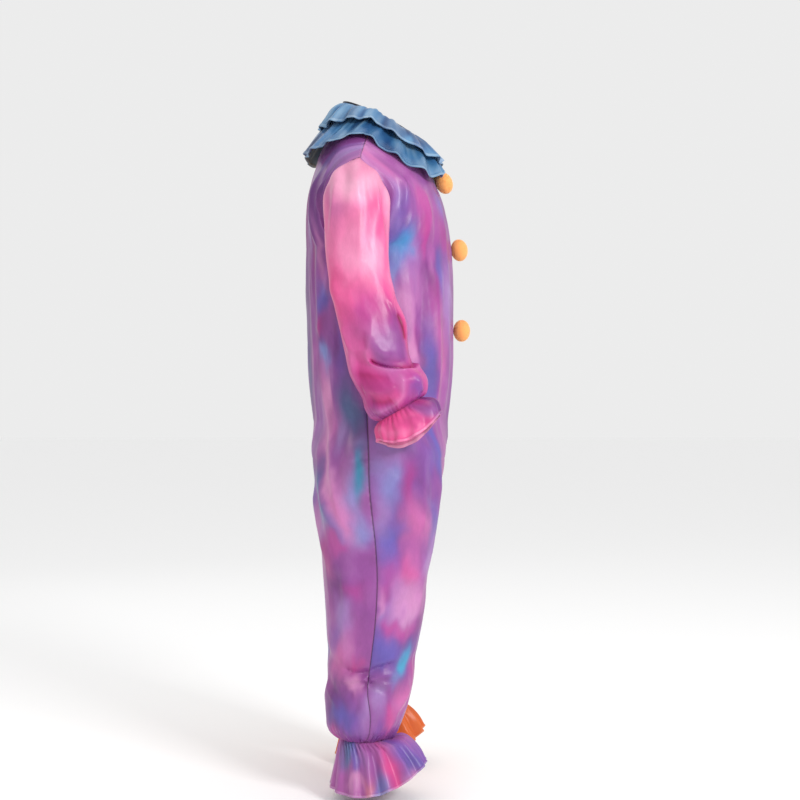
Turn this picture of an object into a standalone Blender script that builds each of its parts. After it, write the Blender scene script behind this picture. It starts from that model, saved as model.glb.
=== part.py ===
"""A clown jumpsuit in satin, hollow and in the pose in which it is worn.

Units are metres. +Z is up, the front faces -Y and the wearer's right is -X. The origin is the
middle of the neck opening, where the wearer's neck and shoulders carry the garment. The tables give
heights above the floor that the wearer stands on, and distances from the planes X = 0 and Y = 0.
Each piece is a wall of cloth of its own, parted from its neighbours at the seams.
"""

import math

import bmesh
import bpy
import numpy as np

COLLECTION = "clown_jumpsuit"

CLOTH = 0.0016  # thickness of the satin wall
SEAM_GAP = 0.0003  # between two pieces at a seam
NECK_HEIGHT = 1.547  # the origin's height above the floor

FRONT, BACK = -1, 1
RIGHT, LEFT = -1, 1

# Neck opening: it slopes down towards the front.
NECK_HALF_WIDTH = 0.078
NECK_HALF_DEPTH = 0.086
NECK_SLOPE = 0.49
SHOULDER_AT_NECK = math.radians(100)  # round the neck from the centre front
BACK_OPENING = math.radians(0.6)  # half the slit at the centre back of the binding and collar
BINDING_THICK = 0.002
BINDING_TOP, BINDING_LOW = 0.005, 0.0125  # above and below the neck ring
BINDING_COLUMNS, BINDING_ROWS = 40, 2  # faces round it and down it
NECKLINE_DROP = 0.015  # the panels' neckline lies this far below the neck ring

SHOULDER_TIP = (0.225, 0.040, 1.427)
SHOULDER_DIP, SHOULDER_ROUND = 0.005, 0.005  # the seam sinks by the neck and bows up by the tip
NECK_SHARE = {FRONT: 0.45, BACK: 0.30}  # of the rows above the underarm, those that end at the neck
CHEST_OUT, CHEST_DOWN = 1.25, 0.80  # how early these rows come forward, and how early they sink
CHEST_EDGE = 1.3  # how close to a panel's edges these rows keep to the neckline and the armhole

# Armhole: a loop round the shoulder, seen from the side.
ARMHOLE_TOP, ARMHOLE_LOW = SHOULDER_TIP[2], 1.240
ARMHOLE_FRONT, ARMHOLE_BACK = -0.024, 0.120
ARMHOLE_BOW = 0.008  # the loop's front and back lie nearer the neck
ARMHOLE_PEAK = {FRONT: 3.0, BACK: 1.33}  # above 1, the loop's upper half narrows to a peak

# Half width, front and back reach, and the side seam's place from front to back.
TORSO = {
    "height": (1.240, 1.170, 1.070, 0.960, 0.900, 0.850, 0.760),
    "half_width": (0.198, 0.200, 0.205, 0.212, 0.216, 0.218, 0.217),
    "front": (0.166, 0.170, 0.171, 0.170, 0.165, 0.160, 0.150),
    "back": (0.171, 0.172, 0.168, 0.166, 0.161, 0.155, 0.148),
    "seam": (0.040, 0.037, 0.033, 0.029, 0.027, 0.025, 0.022),
}
# The centre front and centre back edges above the underarm.
CENTRE = {
    "height": (1.590, 1.540, 1.500, 1.456, 1.411, 1.371, 1.331, 1.270, 1.240),
    "front": (0.040, 0.066, 0.088, 0.107, 0.125, 0.141, 0.151, 0.162, 0.166),
    "back": (0.082, 0.108, 0.129, 0.147, 0.157, 0.164, 0.168, 0.170, 0.171),
}
LEG = {
    "height": (0.860, 0.760, 0.670, 0.594, 0.503, 0.396, 0.327, 0.251, 0.190, 0.155, 0.136),
    "middle": (0.109, 0.110, 0.118, 0.125, 0.134, 0.143, 0.148, 0.152, 0.155, 0.157, 0.158),
    "half_width": (0.108, 0.108, 0.107, 0.104, 0.099, 0.092, 0.087, 0.084, 0.083, 0.076, 0.056),
    "front": (0.161, 0.150, 0.135, 0.126, 0.1135, 0.097, 0.083, 0.0735, 0.056, 0.040, 0.0266),
    "back": (0.157, 0.148, 0.139, 0.132, 0.127, 0.120, 0.117, 0.114, 0.118, 0.110, 0.0858),
    "seam": (0.025, 0.022, 0.013, 0.008, 0.003, 0.008, 0.016, 0.024, 0.018, 0.022, 0.0296),
}
FORK_TOP, CROTCH = 0.850, 0.760  # the centre seams turn under between these heights
ANKLE = 0.136
THIGH = 0.560  # below this height a leg's sections are plain rings
FORK_FACING = 0.27  # the share of a row that faces the other leg at the crotch
FORK_SOFTNESS = 0.15  # how far the corner between that share and the rest is rounded
FORK_SIDE = 0.25  # the share of a row by the side seam that isn't drawn towards the other leg
TORSO_ROUNDNESS, LEG_ROUNDNESS = 0.80, 0.90  # 1 is an ellipse, less is fuller at the corners

PANEL_COLUMNS = 10
CHEST_ROWS = 9
TORSO_HEIGHTS = (1.150, 1.060, 0.970, 0.900, FORK_TOP)
FORK_ROWS = 3
LEG_HEIGHTS = (0.710, 0.620, 0.500, 0.400, 0.330, 0.285, 0.240, 0.200, 0.172, 0.150, ANKLE)

# Sleeve rings from the armhole to the wrist: the outer and inner points seen from the front, the
# front and back edges seen from the side, and how far the front stands above the ring's middle.
SLEEVE = {
    "outer": (0.2250, 0.2520, 0.2750, 0.2890, 0.2990, 0.3060, 0.3120, 0.3180, 0.3240, 0.3290,
              0.3330, 0.3350, 0.3370, 0.3400, 0.3410, 0.3370, 0.3260),
    "outer_height": (1.4270, 1.4100, 1.3800, 1.3400, 1.2900, 1.2350, 1.1750, 1.1200, 1.0650,
                     1.0150, 0.9850, 0.9680, 0.9480, 0.9240, 0.9020, 0.8840, 0.8730),
    "inner": (0.1980, 0.2030, 0.2070, 0.2105, 0.2135, 0.2165, 0.2200, 0.2240, 0.2290, 0.2340,
              0.2370, 0.2390, 0.2410, 0.2440, 0.2490, 0.2600, 0.2740),
    "inner_height": (1.2400, 1.2310, 1.2210, 1.2080, 1.1900, 1.1650, 1.1250, 1.0850, 1.0400,
                     0.9990, 0.9730, 0.9580, 0.9410, 0.9190, 0.8980, 0.8810, 0.8710),
    "front": (-0.024, -0.0245, -0.024, -0.023, -0.0215, -0.0215, -0.028, -0.0425, -0.060,
              -0.063, -0.066, -0.073, -0.088, -0.1025, -0.106, -0.102, -0.093),
    "back": (0.120, 0.1225, 0.121, 0.1185, 0.117, 0.114, 0.1065, 0.0965, 0.084,
             0.0730, 0.067, 0.062, 0.051, 0.036, 0.029, 0.016, -0.0014),
    "lift": (0, 0, 0, 0, 0, 0, 0.003, 0.005, 0.007, 0.010, 0.013, 0.016, 0.020, 0.024, 0.027,
             0.028, 0.0268),
}

# Frill rings: outer and inner (from X = 0), front and back (from Y = 0), and their heights.
# Each starts from the elastic's own ring, so that ring isn't in its table.
CUFF_FRILL = {
    "outer": (0.3520, 0.3640),
    "inner": (0.2500, 0.2400),
    "front": (-0.1230, -0.1370),
    "back": (0.0050, 0.0020),
    "outer_height": (0.8440, 0.8100),
    "inner_height": (0.8370, 0.7940),
    "front_height": (0.8930, 0.8660),
    "back_height": (0.8300, 0.8060),
}
ANKLE_FRILL = {
    "outer": (0.2290, 0.2480, 0.2620),
    "inner": (0.0940, 0.0800, 0.0700),
    "front": (-0.0590, -0.0890, -0.1070),
    "back": (0.0915, 0.0975, 0.1040),
    "outer_height": (0.1150, 0.0740, 0.0320),
    "inner_height": (0.1120, 0.0700, 0.0260),
    "front_height": (0.1370, 0.1080, 0.0840),
    "back_height": (0.1130, 0.0730, 0.0260),
}
COLLAR_UPPER = {
    "side": (0.0815, 0.1030, 0.1330),
    "side_place": (0.0000, 0.0100, 0.0200),
    "side_height": (1.5480, 1.5560, 1.5330),
    "front": (-0.0900, -0.1170, -0.1430),
    "front_height": (1.5060, 1.4880, 1.4560),
    "back": (0.0900, 0.1160, 0.1410),
    "back_height": (1.5905, 1.5730, 1.5270),
}
COLLAR_LOWER = {
    "side": (0.0820, 0.1040, 0.1350, 0.1670),
    "side_place": (0.0000, 0.0100, 0.0230, 0.0350),
    "side_height": (1.5430, 1.5340, 1.5150, 1.4940),
    "front": (-0.0905, -0.1100, -0.1280, -0.1410),
    "front_height": (1.5010, 1.4860, 1.4640, 1.4390),
    "back": (0.0900, 0.1120, 0.1440, 0.1700),
    "back_height": (1.5855, 1.5550, 1.5150, 1.4730),
}
# The collar hangs lower between its front and its sides, by this much at the hem.
UPPER_SAG, LOWER_SAG = 0.024, 0.054
UPPER_SPREAD, LOWER_SPREAD = 0.13, 0.21  # it also stands further out there, as a share
SAG_BEHIND = 0.50  # between its sides and the back both are this share of that
SAG_PEAK = 2.0  # 1 / the largest value of sin(a) * cos(a)

# Ruffle waves: how many round the piece, points for each, and how far they swing at the hem.
CUFF_WAVES, ANKLE_WAVES = 11, 15
UPPER_WAVES, LOWER_WAVES = 18, 20
WAVE_POINTS = 5
CUFF_SWING, ANKLE_SWING = 0.0045, 0.0080
UPPER_SWING, LOWER_SWING = 0.0055, 0.0060
SWING_GROWTH = 0.8  # below 1, a wave opens early on its way from the gathers to the hem
WAVE_UNEVEN = {
    "share": (0.30, 0.22),  # of the swing
    "times": (3, 7),  # round the piece
    "start": (0.7, 2.0),
}
WAVE_DRIFT, DRIFT_TIMES = 0.5, 4  # how far waves crowd together and spread apart, in radians

# Gathers at the elastics, above the frills: how many, how deep and how far up.
LEG_GATHERS, SLEEVE_GATHERS = PANEL_COLUMNS, CHEST_ROWS
GATHER_SWING = 0.0022
GATHER_REACH = 0.045
SLEEVE_GATHER_ROWS = (3, 1, 0)  # they start, are deepest and end this many rings above the wrist

# Folds on the body: round from the centre front (0) by the side seam (1) to the centre back (2).
BODY_FOLDS = (
    # half, start round, start height, end round, end height, half width, rise
    (RIGHT, 0.60, 1.22, 0.66, 0.84, 0.026, -0.007),
    (RIGHT, 0.42, 1.16, 0.45, 0.90, 0.026, 0.004),
    (RIGHT, 0.78, 1.38, 0.84, 1.27, 0.018, 0.005),
    (RIGHT, 1.42, 1.40, 1.47, 1.06, 0.022, 0.008),
    (RIGHT, 1.20, 1.30, 1.24, 1.02, 0.024, -0.008),
    (RIGHT, 1.70, 0.82, 1.25, 0.62, 0.026, 0.006),
    (RIGHT, 1.55, 0.66, 1.20, 0.50, 0.026, 0.005),
    (RIGHT, 0.40, 0.70, 0.55, 0.48, 0.028, -0.005),
    (RIGHT, 1.04, 0.285, 1.50, 0.33, 0.020, -0.006),
    (RIGHT, 1.00, 0.283, 0.60, 0.31, 0.020, -0.005),
    (RIGHT, 1.45, 0.24, 1.70, 0.21, 0.020, 0.005),
    (LEFT, 0.56, 1.20, 0.64, 0.88, 0.026, -0.006),
    (LEFT, 0.38, 1.12, 0.46, 0.86, 0.026, 0.005),
    (LEFT, 0.76, 1.36, 0.86, 1.26, 0.018, 0.005),
    (LEFT, 1.40, 1.39, 1.46, 1.07, 0.022, 0.008),
    (LEFT, 1.22, 1.28, 1.20, 1.00, 0.024, -0.007),
    (LEFT, 1.60, 0.80, 1.30, 0.64, 0.026, 0.006),
    (LEFT, 1.50, 0.60, 1.15, 0.46, 0.026, -0.005),
    (LEFT, 0.45, 0.66, 0.52, 0.44, 0.028, 0.005),
    (LEFT, 1.04, 0.31, 1.45, 0.35, 0.020, -0.005),
    (LEFT, 0.98, 0.30, 0.62, 0.27, 0.020, -0.005),
)
BODY_FOLD_ROUND = 0.33  # metres for one step round
CENTRE_PLAIN = 0.25  # the share of a panel by its centre seam over which folds fade out
SHOULDER_PLAIN = (0.010, 0.070)  # folds fade in between these depths below the shoulder tip
# Folds on a sleeve: round in turns from the outer side (0) by the front (0.25) and the body side.
SLEEVE_FOLDS = (
    # half, start round, start height, end round, end height, half width, rise
    (RIGHT, -0.12, 0.973, 0.20, 0.966, 0.016, -0.010),
    (RIGHT, -0.05, 1.040, 0.02, 0.990, 0.016, 0.006),
    (RIGHT, 0.12, 0.945, -0.08, 0.915, 0.018, 0.006),
    (RIGHT, 0.22, 1.110, 0.12, 1.060, 0.018, -0.005),
    (RIGHT, -0.20, 1.130, -0.05, 1.080, 0.022, 0.005),
    (RIGHT, 0.40, 1.060, 0.60, 1.020, 0.022, 0.004),
    (LEFT, -0.15, 0.980, 0.18, 0.962, 0.016, -0.009),
    (LEFT, -0.02, 1.050, 0.05, 1.000, 0.016, 0.006),
    (LEFT, 0.10, 0.940, -0.12, 0.920, 0.018, 0.006),
    (LEFT, 0.20, 1.100, 0.10, 1.070, 0.018, -0.005),
    (LEFT, -0.18, 1.150, -0.02, 1.110, 0.022, 0.005),
    (LEFT, 0.42, 1.080, 0.58, 1.030, 0.022, 0.004),
)
SLEEVE_FOLD_ROUND = 0.41  # metres for one turn
SLEEVE_FOLD_FROM = -0.3  # the turn from which the folds' places are counted
CAP_PLEAT_RISE = 0.0025
CAP_PLEAT_ROWS = (0, 1, 3, 6)  # pleats start, reach their full rise, keep it and fade out
CAP_PLEAT_REACH = 0.2  # how far round past the front and back they run, as a cosine

POMPOMS = {
    "name": ("pompom_top", "pompom_middle", "pompom_bottom"),
    "height": (1.396, 1.243, 1.056),
}
POMPOM_RADIUS, POMPOM_PROUD = 0.0265, 0.0205  # across and half its depth
POMPOM_OFF = 0.0008  # from the tips of its back locks to the cloth
POMPOM_CORE = 0.66  # the core's share of the radius, past which the locks stand apart
LOCK_TAPER = 0.105  # how far each side of a lock's tip draws in, as a share of the root's side

MATERIALS = {
    "name": ("satin_tie_dye", "satin_pink", "satin_orange", "satin_yellow_orange", "satin_blue",
             "binding_navy", "pompom_orange"),
    "colour": ((0.31, 0.08, 0.38), (0.80, 0.09, 0.28), (0.93, 0.36, 0.06), (0.94, 0.50, 0.16),
               (0.06, 0.19, 0.38), (0.01, 0.02, 0.06), (0.94, 0.32, 0.08)),
    "roughness": (0.38, 0.38, 0.38, 0.38, 0.36, 0.60, 0.90),
}


def unit(vectors):
    """The vectors, each at length 1."""
    return vectors / np.maximum(np.linalg.norm(vectors, axis=-1, keepdims=True), 1e-12)


def read(table, column, place, key="height"):
    """Reads a column at any place on a smooth curve through the table's rows."""
    keys = np.array(table[key], float)
    values = np.array(table[column], float)
    if keys[0] > keys[-1]:
        keys, values = keys[::-1], values[::-1]
    slopes = np.gradient(values, keys)
    place = np.clip(place, keys[0], keys[-1])
    row = np.clip(np.searchsorted(keys, place) - 1, 0, len(keys) - 2)
    step = keys[row + 1] - keys[row]
    share = (place - keys[row]) / step
    start = values[row] * (1 + 2 * share) * (1 - share) ** 2
    end = values[row + 1] * share ** 2 * (3 - 2 * share)
    bend = slopes[row] * share * (1 - share) ** 2 - slopes[row + 1] * share ** 2 * (1 - share)
    return start + end + step * bend


def ease(share):
    """A step from 0 to 1 that starts and ends level."""
    share = np.clip(share, 0, 1)
    return share * share * (3 - 2 * share)


def rounded(value, roundness):
    """A cosine or sine made fuller, for a rounded section."""
    return np.sign(value) * np.abs(value) ** roundness


def torso_row(across, side, height, roundness=TORSO_ROUNDNESS):
    """One level of a torso panel, from the centre seam (0) to the side seam (1)."""
    seam = read(TORSO, "seam", height)
    reach = read(TORSO, "front" if side == FRONT else "back", height) - side * seam
    angle = across * math.pi / 2
    x = -read(TORSO, "half_width", height) * rounded(np.sin(angle), roundness)
    y = seam + side * reach * rounded(np.cos(angle), roundness)
    return np.stack([x, y, np.full_like(x, height)], axis=-1)


def leg_ring_row(across, side, height):
    """One level of a leg panel on a plain ring, from the inseam (0) to the side seam (1)."""
    seam = read(LEG, "seam", height)
    reach = read(LEG, "front" if side == FRONT else "back", height) - side * seam
    angle = across * math.pi
    roundness = np.interp(height, (ANKLE, ANKLE + GATHER_REACH), (1, LEG_ROUNDNESS))
    x = read(LEG, "half_width", height) * rounded(np.cos(angle), roundness)
    y = seam + side * reach * rounded(np.sin(angle), roundness)
    return np.stack([x - read(LEG, "middle", height), y, np.full_like(x, height)], axis=-1)


def above_zero(value, softness):
    """The larger of the value and 0, with the corner between them rounded off."""
    return (value + np.sqrt(value * value + softness * softness)) / 2


def forked_row(across, side, height, under):
    """A level of the torso whose centre seam has turned under, by a share of its way.

    The columns near the seam face the other leg, and the rest are drawn along towards the side seam.
    """
    facing = FORK_FACING * under
    softness = FORK_SOFTNESS * math.sqrt(under)
    round_torso = above_zero((across - facing) / (1 - facing), softness)
    start, end = (above_zero(value, softness) for value in (-facing / (1 - facing), 1))
    round_torso += (0 - start) * (1 - across) + (1 - end) * across
    row = torso_row(np.clip(round_torso, 0, 1), side, height)
    turned = above_zero(1 - across / max(facing, 1e-6), softness) / above_zero(1, softness)
    turned *= ease((1 - across) / FORK_SIDE)
    row[:, 1] += turned * under * (read(LEG, "seam", height) - row[:, 1])
    return row


def fork_row(across, side, turn):
    """A row where the centre seam turns under to the crotch, at 0 to 90 degrees of its turn."""
    height = FORK_TOP - (FORK_TOP - CROTCH) * math.sin(turn)
    return forked_row(across, side, height, 1 - math.cos(turn))


def leg_row(across, side, height):
    """One level of a leg panel, which turns from the crotch's section into a plain ring."""
    crotch = forked_row(across, side, CROTCH, 1)
    crotch[:, 2] = height
    ringed = leg_ring_row(across, side, height)
    return crotch + (ringed - crotch) * ease((CROTCH - height) / (CROTCH - THIGH))


def neck_point(angle, out=0.0, drop=0.0):
    """A point round the neck opening, from the centre front (0) to the centre back (180)."""
    x = -(NECK_HALF_WIDTH + out) * np.sin(angle)
    y = -(NECK_HALF_DEPTH + out) * np.cos(angle)
    return np.stack([x, y, NECK_HEIGHT + NECK_SLOPE * y - drop], axis=-1)


def armhole_point(side, share):
    """A point of the armhole's front or back half, from the shoulder tip (0) to the underarm (1)."""
    angle = np.asarray(share) * math.pi
    middle = (ARMHOLE_TOP + ARMHOLE_LOW) / 2
    reach = abs((ARMHOLE_FRONT if side == FRONT else ARMHOLE_BACK) - SHOULDER_TIP[1])
    tip, low = SHOULDER_TIP[0], TORSO["half_width"][0]
    x = -(tip + (low - tip) * (1 - np.cos(angle)) / 2 - ARMHOLE_BOW * np.sin(angle))
    peak = np.where(np.cos(angle) > 0, ARMHOLE_PEAK[side], 1.0)
    y = SHOULDER_TIP[1] + side * reach * np.maximum(np.sin(angle), 0) ** peak
    height = middle + (ARMHOLE_TOP - middle) * np.cos(angle)
    return np.stack([x, y, height], axis=-1)


def centre_edge(side, share):
    """The inner edge of the chest or shoulder-blade part: the neckline, then the centre seam."""
    neck_share = NECK_SHARE[side]
    end = 0 if side == FRONT else math.pi
    if share < neck_share:
        angle = SHOULDER_AT_NECK + (end - SHOULDER_AT_NECK) * ease(share / neck_share / 2) * 2
        return neck_point(angle, BINDING_THICK + CLOTH, NECKLINE_DROP)
    top = neck_point(end, BINDING_THICK + CLOTH, NECKLINE_DROP)[2]
    down = (share - neck_share) / (1 - neck_share)
    height = top + (TORSO["height"][0] - top) * down
    reach = side * read(CENTRE, "front" if side == FRONT else "back", height)
    return np.array([0.0, reach, height])


def chest_row(across, side, share):
    """A row over the chest or shoulder blade, from the shoulder seam (0) to the underarm (1)."""
    turn = share * math.pi / 2
    neck = centre_edge(side, 0.0)
    column = across[:, None]
    shoulder = neck + (np.array(SHOULDER_TIP) * (-1, 1, 1) - neck) * column
    bow = SHOULDER_ROUND * across - SHOULDER_DIP * (1 - across)
    shoulder[:, 2] += 2 * bow * np.sin(across * math.pi)
    roundness = 1 + (TORSO_ROUNDNESS - 1) * share
    low = torso_row(across, side, TORSO["height"][0], roundness)
    forward, down = math.sin(turn) ** CHEST_OUT, (1 - math.cos(turn)) ** CHEST_DOWN
    row = shoulder + (low - shoulder) * np.array([forward, forward, down])
    start_off = centre_edge(side, share) - row[0]
    end_off = armhole_point(side, share) - row[-1]
    return row + start_off * (1 - column) ** CHEST_EDGE + end_off * column ** CHEST_EDGE


def body_rows():
    """The rows of a panel from the shoulder to the ankle, each with what gives its points."""
    rows = [(chest_row, place / CHEST_ROWS) for place in range(CHEST_ROWS)]
    rows += [(torso_row, height) for height in (TORSO["height"][0],) + TORSO_HEIGHTS]
    rows += [(fork_row, math.pi / 2 * place / FORK_ROWS) for place in range(1, FORK_ROWS + 1)]
    rows += [(leg_row, height) for height in LEG_HEIGHTS]
    return rows


FORK_END = CHEST_ROWS + len(TORSO_HEIGHTS) + FORK_ROWS  # the row at the crotch


def grid_normals(grid, outward, closed=False):
    """Unit normals of a grid of points by column and row, on the outer side."""
    if closed:
        across = np.roll(grid, -1, axis=0) - np.roll(grid, 1, axis=0)
    else:
        across = np.gradient(grid, axis=0, edge_order=2)
    down = np.gradient(grid, axis=1, edge_order=2)
    return unit(np.cross(across, down)) * outward


def fold_rise(folds, half, around, height, metres_round):
    """How far the folds of one half push the cloth out at each point."""
    rise = np.zeros_like(around)
    for row_half, start, start_height, end, end_height, width, top in folds:
        if row_half != half:
            continue
        run = np.array([(end - start) * metres_round, end_height - start_height])
        x = (around - start) * metres_round
        y = height - start_height
        along = np.clip((x * run[0] + y * run[1]) / run.dot(run), 0, 1)
        away = np.hypot(x - along * run[0], y - along * run[1])
        rise += top * np.exp(-(away / width) ** 2)
    return rise


def share_normals(first, second):
    """Gives two edges that meet at a seam the same normals."""
    first[:] = second[:] = unit(first + second)


def pull_edge(line, beside, normals):
    """Draws one edge of a piece back from its seam by half the gap."""
    inward = np.cross(np.gradient(line, axis=0), normals)
    inward *= np.sign(np.sum(inward * (beside - line), axis=-1, keepdims=True))
    line += unit(inward) * SEAM_GAP / 2


def panel_grid(side, half):
    """The outer points of a front or back panel, on the wearer's right."""
    across = np.linspace(0, 1, PANEL_COLUMNS + 1)
    grid = np.stack([row(across, side, place) for row, place in body_rows()], axis=1)
    outward = -side
    normals = grid_normals(grid, outward)
    column = across[:, None]
    around = column if side == FRONT else 2 - column
    height = grid[..., 2]
    rise = fold_rise(BODY_FOLDS, half, around + 0 * height, height, BODY_FOLD_ROUND)
    rise *= ease(column / CENTRE_PLAIN)
    below = ARMHOLE_TOP - height[:, :CHEST_ROWS]
    rise[:, :CHEST_ROWS] *= ease((below - SHOULDER_PLAIN[0]) / (SHOULDER_PLAIN[1] - SHOULDER_PLAIN[0]))
    low = ease((ANKLE + GATHER_REACH - height) / GATHER_REACH)
    low[:, -1] = 0
    turns = column / 2 * side
    rise += GATHER_SWING * low * np.cos(2 * math.pi * LEG_GATHERS * turns)
    return grid + normals * rise[..., None]


def half_panels(half):
    """The outer points and normals of the front and back panels of one half, at their seams."""
    panels = []
    for side in (FRONT, BACK):
        grid = panel_grid(side, half)
        panels.append([grid, grid_normals(grid, -side)])
    (front, front_normals), (back, back_normals) = panels
    share_normals(front_normals[:, 0], back_normals[:, 0])
    share_normals(front_normals[-1, CHEST_ROWS:], back_normals[-1, CHEST_ROWS:])
    share_normals(front_normals[0, FORK_END:], back_normals[0, FORK_END:])
    for grid, normals in panels:
        middle = np.abs(grid[0, :, 0]) < CLOTH
        normals[0, middle, 0] = 0
        normals[0] = unit(normals[0])
        pull_edge(grid[0], grid[1].copy(), normals[0])
        pull_edge(grid[-1], grid[-2].copy(), normals[-1])
        pull_edge(grid[:, 0], grid[:, 1].copy(), normals[:, 0])
        pull_edge(grid[:, -1], grid[:, -2].copy(), normals[:, -1])
    return panels


def ring(outer, inner, front, back, turns):
    """A ring through four points, with its outer point at 0 turns and its front at a quarter."""
    angle = np.asarray(turns)[:, None] * 2 * math.pi
    cosine, sine = np.cos(angle), np.sin(angle)
    sides, ends = (outer + inner) / 2, (front + back) / 2
    middle = sides * cosine ** 2 + ends * sine ** 2
    return middle + (outer - inner) / 2 * cosine + (front - back) / 2 * sine


def limb_ring(cut, turns):
    """A ring of a sleeve or a frill, from its row of a table."""
    depth = (cut["front"] + cut["back"]) / 2
    across = -(cut["outer"] + cut["inner"]) / 2
    outer = np.array([-cut["outer"], depth, cut["outer_height"]])
    inner = np.array([-cut["inner"], depth, cut["inner_height"]])
    front = np.array([across, cut["front"], cut["front_height"]])
    back = np.array([across, cut["back"], cut["back_height"]])
    return ring(outer, inner, front, back, turns)


def table_row(table, place):
    """One row of a table, by the names of its columns."""
    return {name: values[place] for name, values in table.items()}


def sleeve_ring(place, turns):
    """A ring of the sleeve. Its front stands above its middle by the table's lift."""
    cut = table_row(SLEEVE, place)
    middle = (cut["outer_height"] + cut["inner_height"]) / 2
    cut["front_height"] = middle + cut["lift"]
    cut["back_height"] = middle - cut["lift"]
    return limb_ring(cut, turns)


def wrist_ring(turns):
    """The wrist elastic, where a sleeve ends and its cuff frill starts."""
    return sleeve_ring(-1, turns)


def ankle_ring(turns):
    """The ankle elastic, where the leg panels end and their frill starts."""
    cut = table_row(LEG, -1)
    middle = (cut["back"] - cut["front"]) / 2
    outer = np.array([-cut["middle"] - cut["half_width"], middle, ANKLE])
    inner = np.array([-cut["middle"] + cut["half_width"], middle, ANKLE])
    across = -cut["middle"]
    return ring(outer, inner, np.array([across, -cut["front"], ANKLE]),
                np.array([across, cut["back"], ANKLE]), turns)


def sleeve_grid(half):
    """The outer points of a sleeve, from the armhole to the wrist, on the wearer's right."""
    shares = np.arange(CHEST_ROWS) / CHEST_ROWS
    turns = np.arange(2 * CHEST_ROWS) / (2 * CHEST_ROWS)
    rings = [np.concatenate([armhole_point(FRONT, shares), armhole_point(BACK, 1 - shares)])]
    rings += [sleeve_ring(place, turns) for place in range(1, len(SLEEVE["outer"]))]
    grid = np.stack(rings, axis=1)
    normals = grid_normals(grid, -1, closed=True)
    height = grid[..., 2]
    signed = (turns - SLEEVE_FOLD_FROM) % 1 + SLEEVE_FOLD_FROM
    rise = fold_rise(SLEEVE_FOLDS, half, signed[:, None] + 0 * height, height, SLEEVE_FOLD_ROUND)
    wave = np.cos(2 * math.pi * SLEEVE_GATHERS * turns)[:, None]
    rows = np.arange(len(rings))
    cap = ease((np.cos(2 * math.pi * turns) + CAP_PLEAT_REACH) / (1 + CAP_PLEAT_REACH))[:, None]
    rise += CAP_PLEAT_RISE * wave * cap * np.interp(rows, CAP_PLEAT_ROWS, (0, 1, 1, 0))
    gathered = np.interp(rows, len(rings) - 1 - np.array(SLEEVE_GATHER_ROWS), (0, 1, 0))
    rise += GATHER_SWING * wave * gathered
    return grid + normals * rise[..., None]


def swung(grid, swing, waves, closed):
    """Swings a frill's points out and in, more towards the hem, in waves of uneven depth."""
    around = np.linspace(0, 1, len(grid), endpoint=not closed)
    phase = 2 * math.pi * waves * around
    uneven = np.ones_like(around)
    for share, times, first in zip(*WAVE_UNEVEN.values()):
        uneven += share * np.sin(2 * math.pi * times * around + first)
    wave = np.cos(phase + WAVE_DRIFT * np.sin(2 * math.pi * DRIFT_TIMES * around)) * uneven
    down = np.linspace(0, 1, grid.shape[1])
    normals = grid_normals(grid, 1, closed)
    return grid + normals * (swing * wave[:, None] * down ** SWING_GROWTH)[..., None]


def limb_frill_grid(table, start, waves, swing):
    """The outer points of a frill below the elastic's ring, on the wearer's right."""
    turns = np.arange(waves * WAVE_POINTS) / (waves * WAVE_POINTS)
    first = start(turns)
    away = np.cross(first[0] - first[len(first) // 2], first[len(first) // 4] - first[0])
    away *= -math.copysign(SEAM_GAP, away[2]) / np.linalg.norm(away)
    rings = [first + away]
    rings += [limb_ring(table_row(table, place), turns) for place in range(len(table["outer"]))]
    return swung(np.stack(rings, axis=1), swing, waves, closed=True)


def collar_grid(table, sag, spread, waves, swing):
    """The outer points of a collar tier, round the neck from one side of the slit to the other."""
    count = waves * WAVE_POINTS
    start = 0.75 + BACK_OPENING / (2 * math.pi)
    turns = start + np.linspace(0, 1, count + 1) * (1 - BACK_OPENING / math.pi)
    forward = np.sin(2 * math.pi * turns)
    low = SAG_PEAK * np.abs(forward * np.cos(2 * math.pi * turns))
    low *= np.where(forward > 0, 1, SAG_BEHIND)
    rings = []
    last = len(table["side"]) - 1
    for place in range(last + 1):
        cut = table_row(table, place)
        outer = np.array([-cut["side"], cut["side_place"], cut["side_height"]])
        front = np.array([0, cut["front"], cut["front_height"]])
        back = np.array([0, cut["back"], cut["back_height"]])
        points = ring(outer, outer * (-1, 1, 1), front, back, turns)
        points[:, 2] -= sag * low * place / last
        points[:, :2] *= 1 + (spread * low * place / last)[:, None]
        rings.append(points)
    return swung(np.stack(rings, axis=1), swing, waves, closed=False)


def binding_grid():
    """The outer points of the binding round the neck opening."""
    start = math.pi + BACK_OPENING
    angle = start + np.linspace(0, 2 * math.pi - 2 * BACK_OPENING, BINDING_COLUMNS + 1)
    drops = np.linspace(-BINDING_TOP, BINDING_LOW, BINDING_ROWS + 1)
    return np.stack([neck_point(angle, BINDING_THICK, drop) for drop in drops], axis=1)


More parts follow.
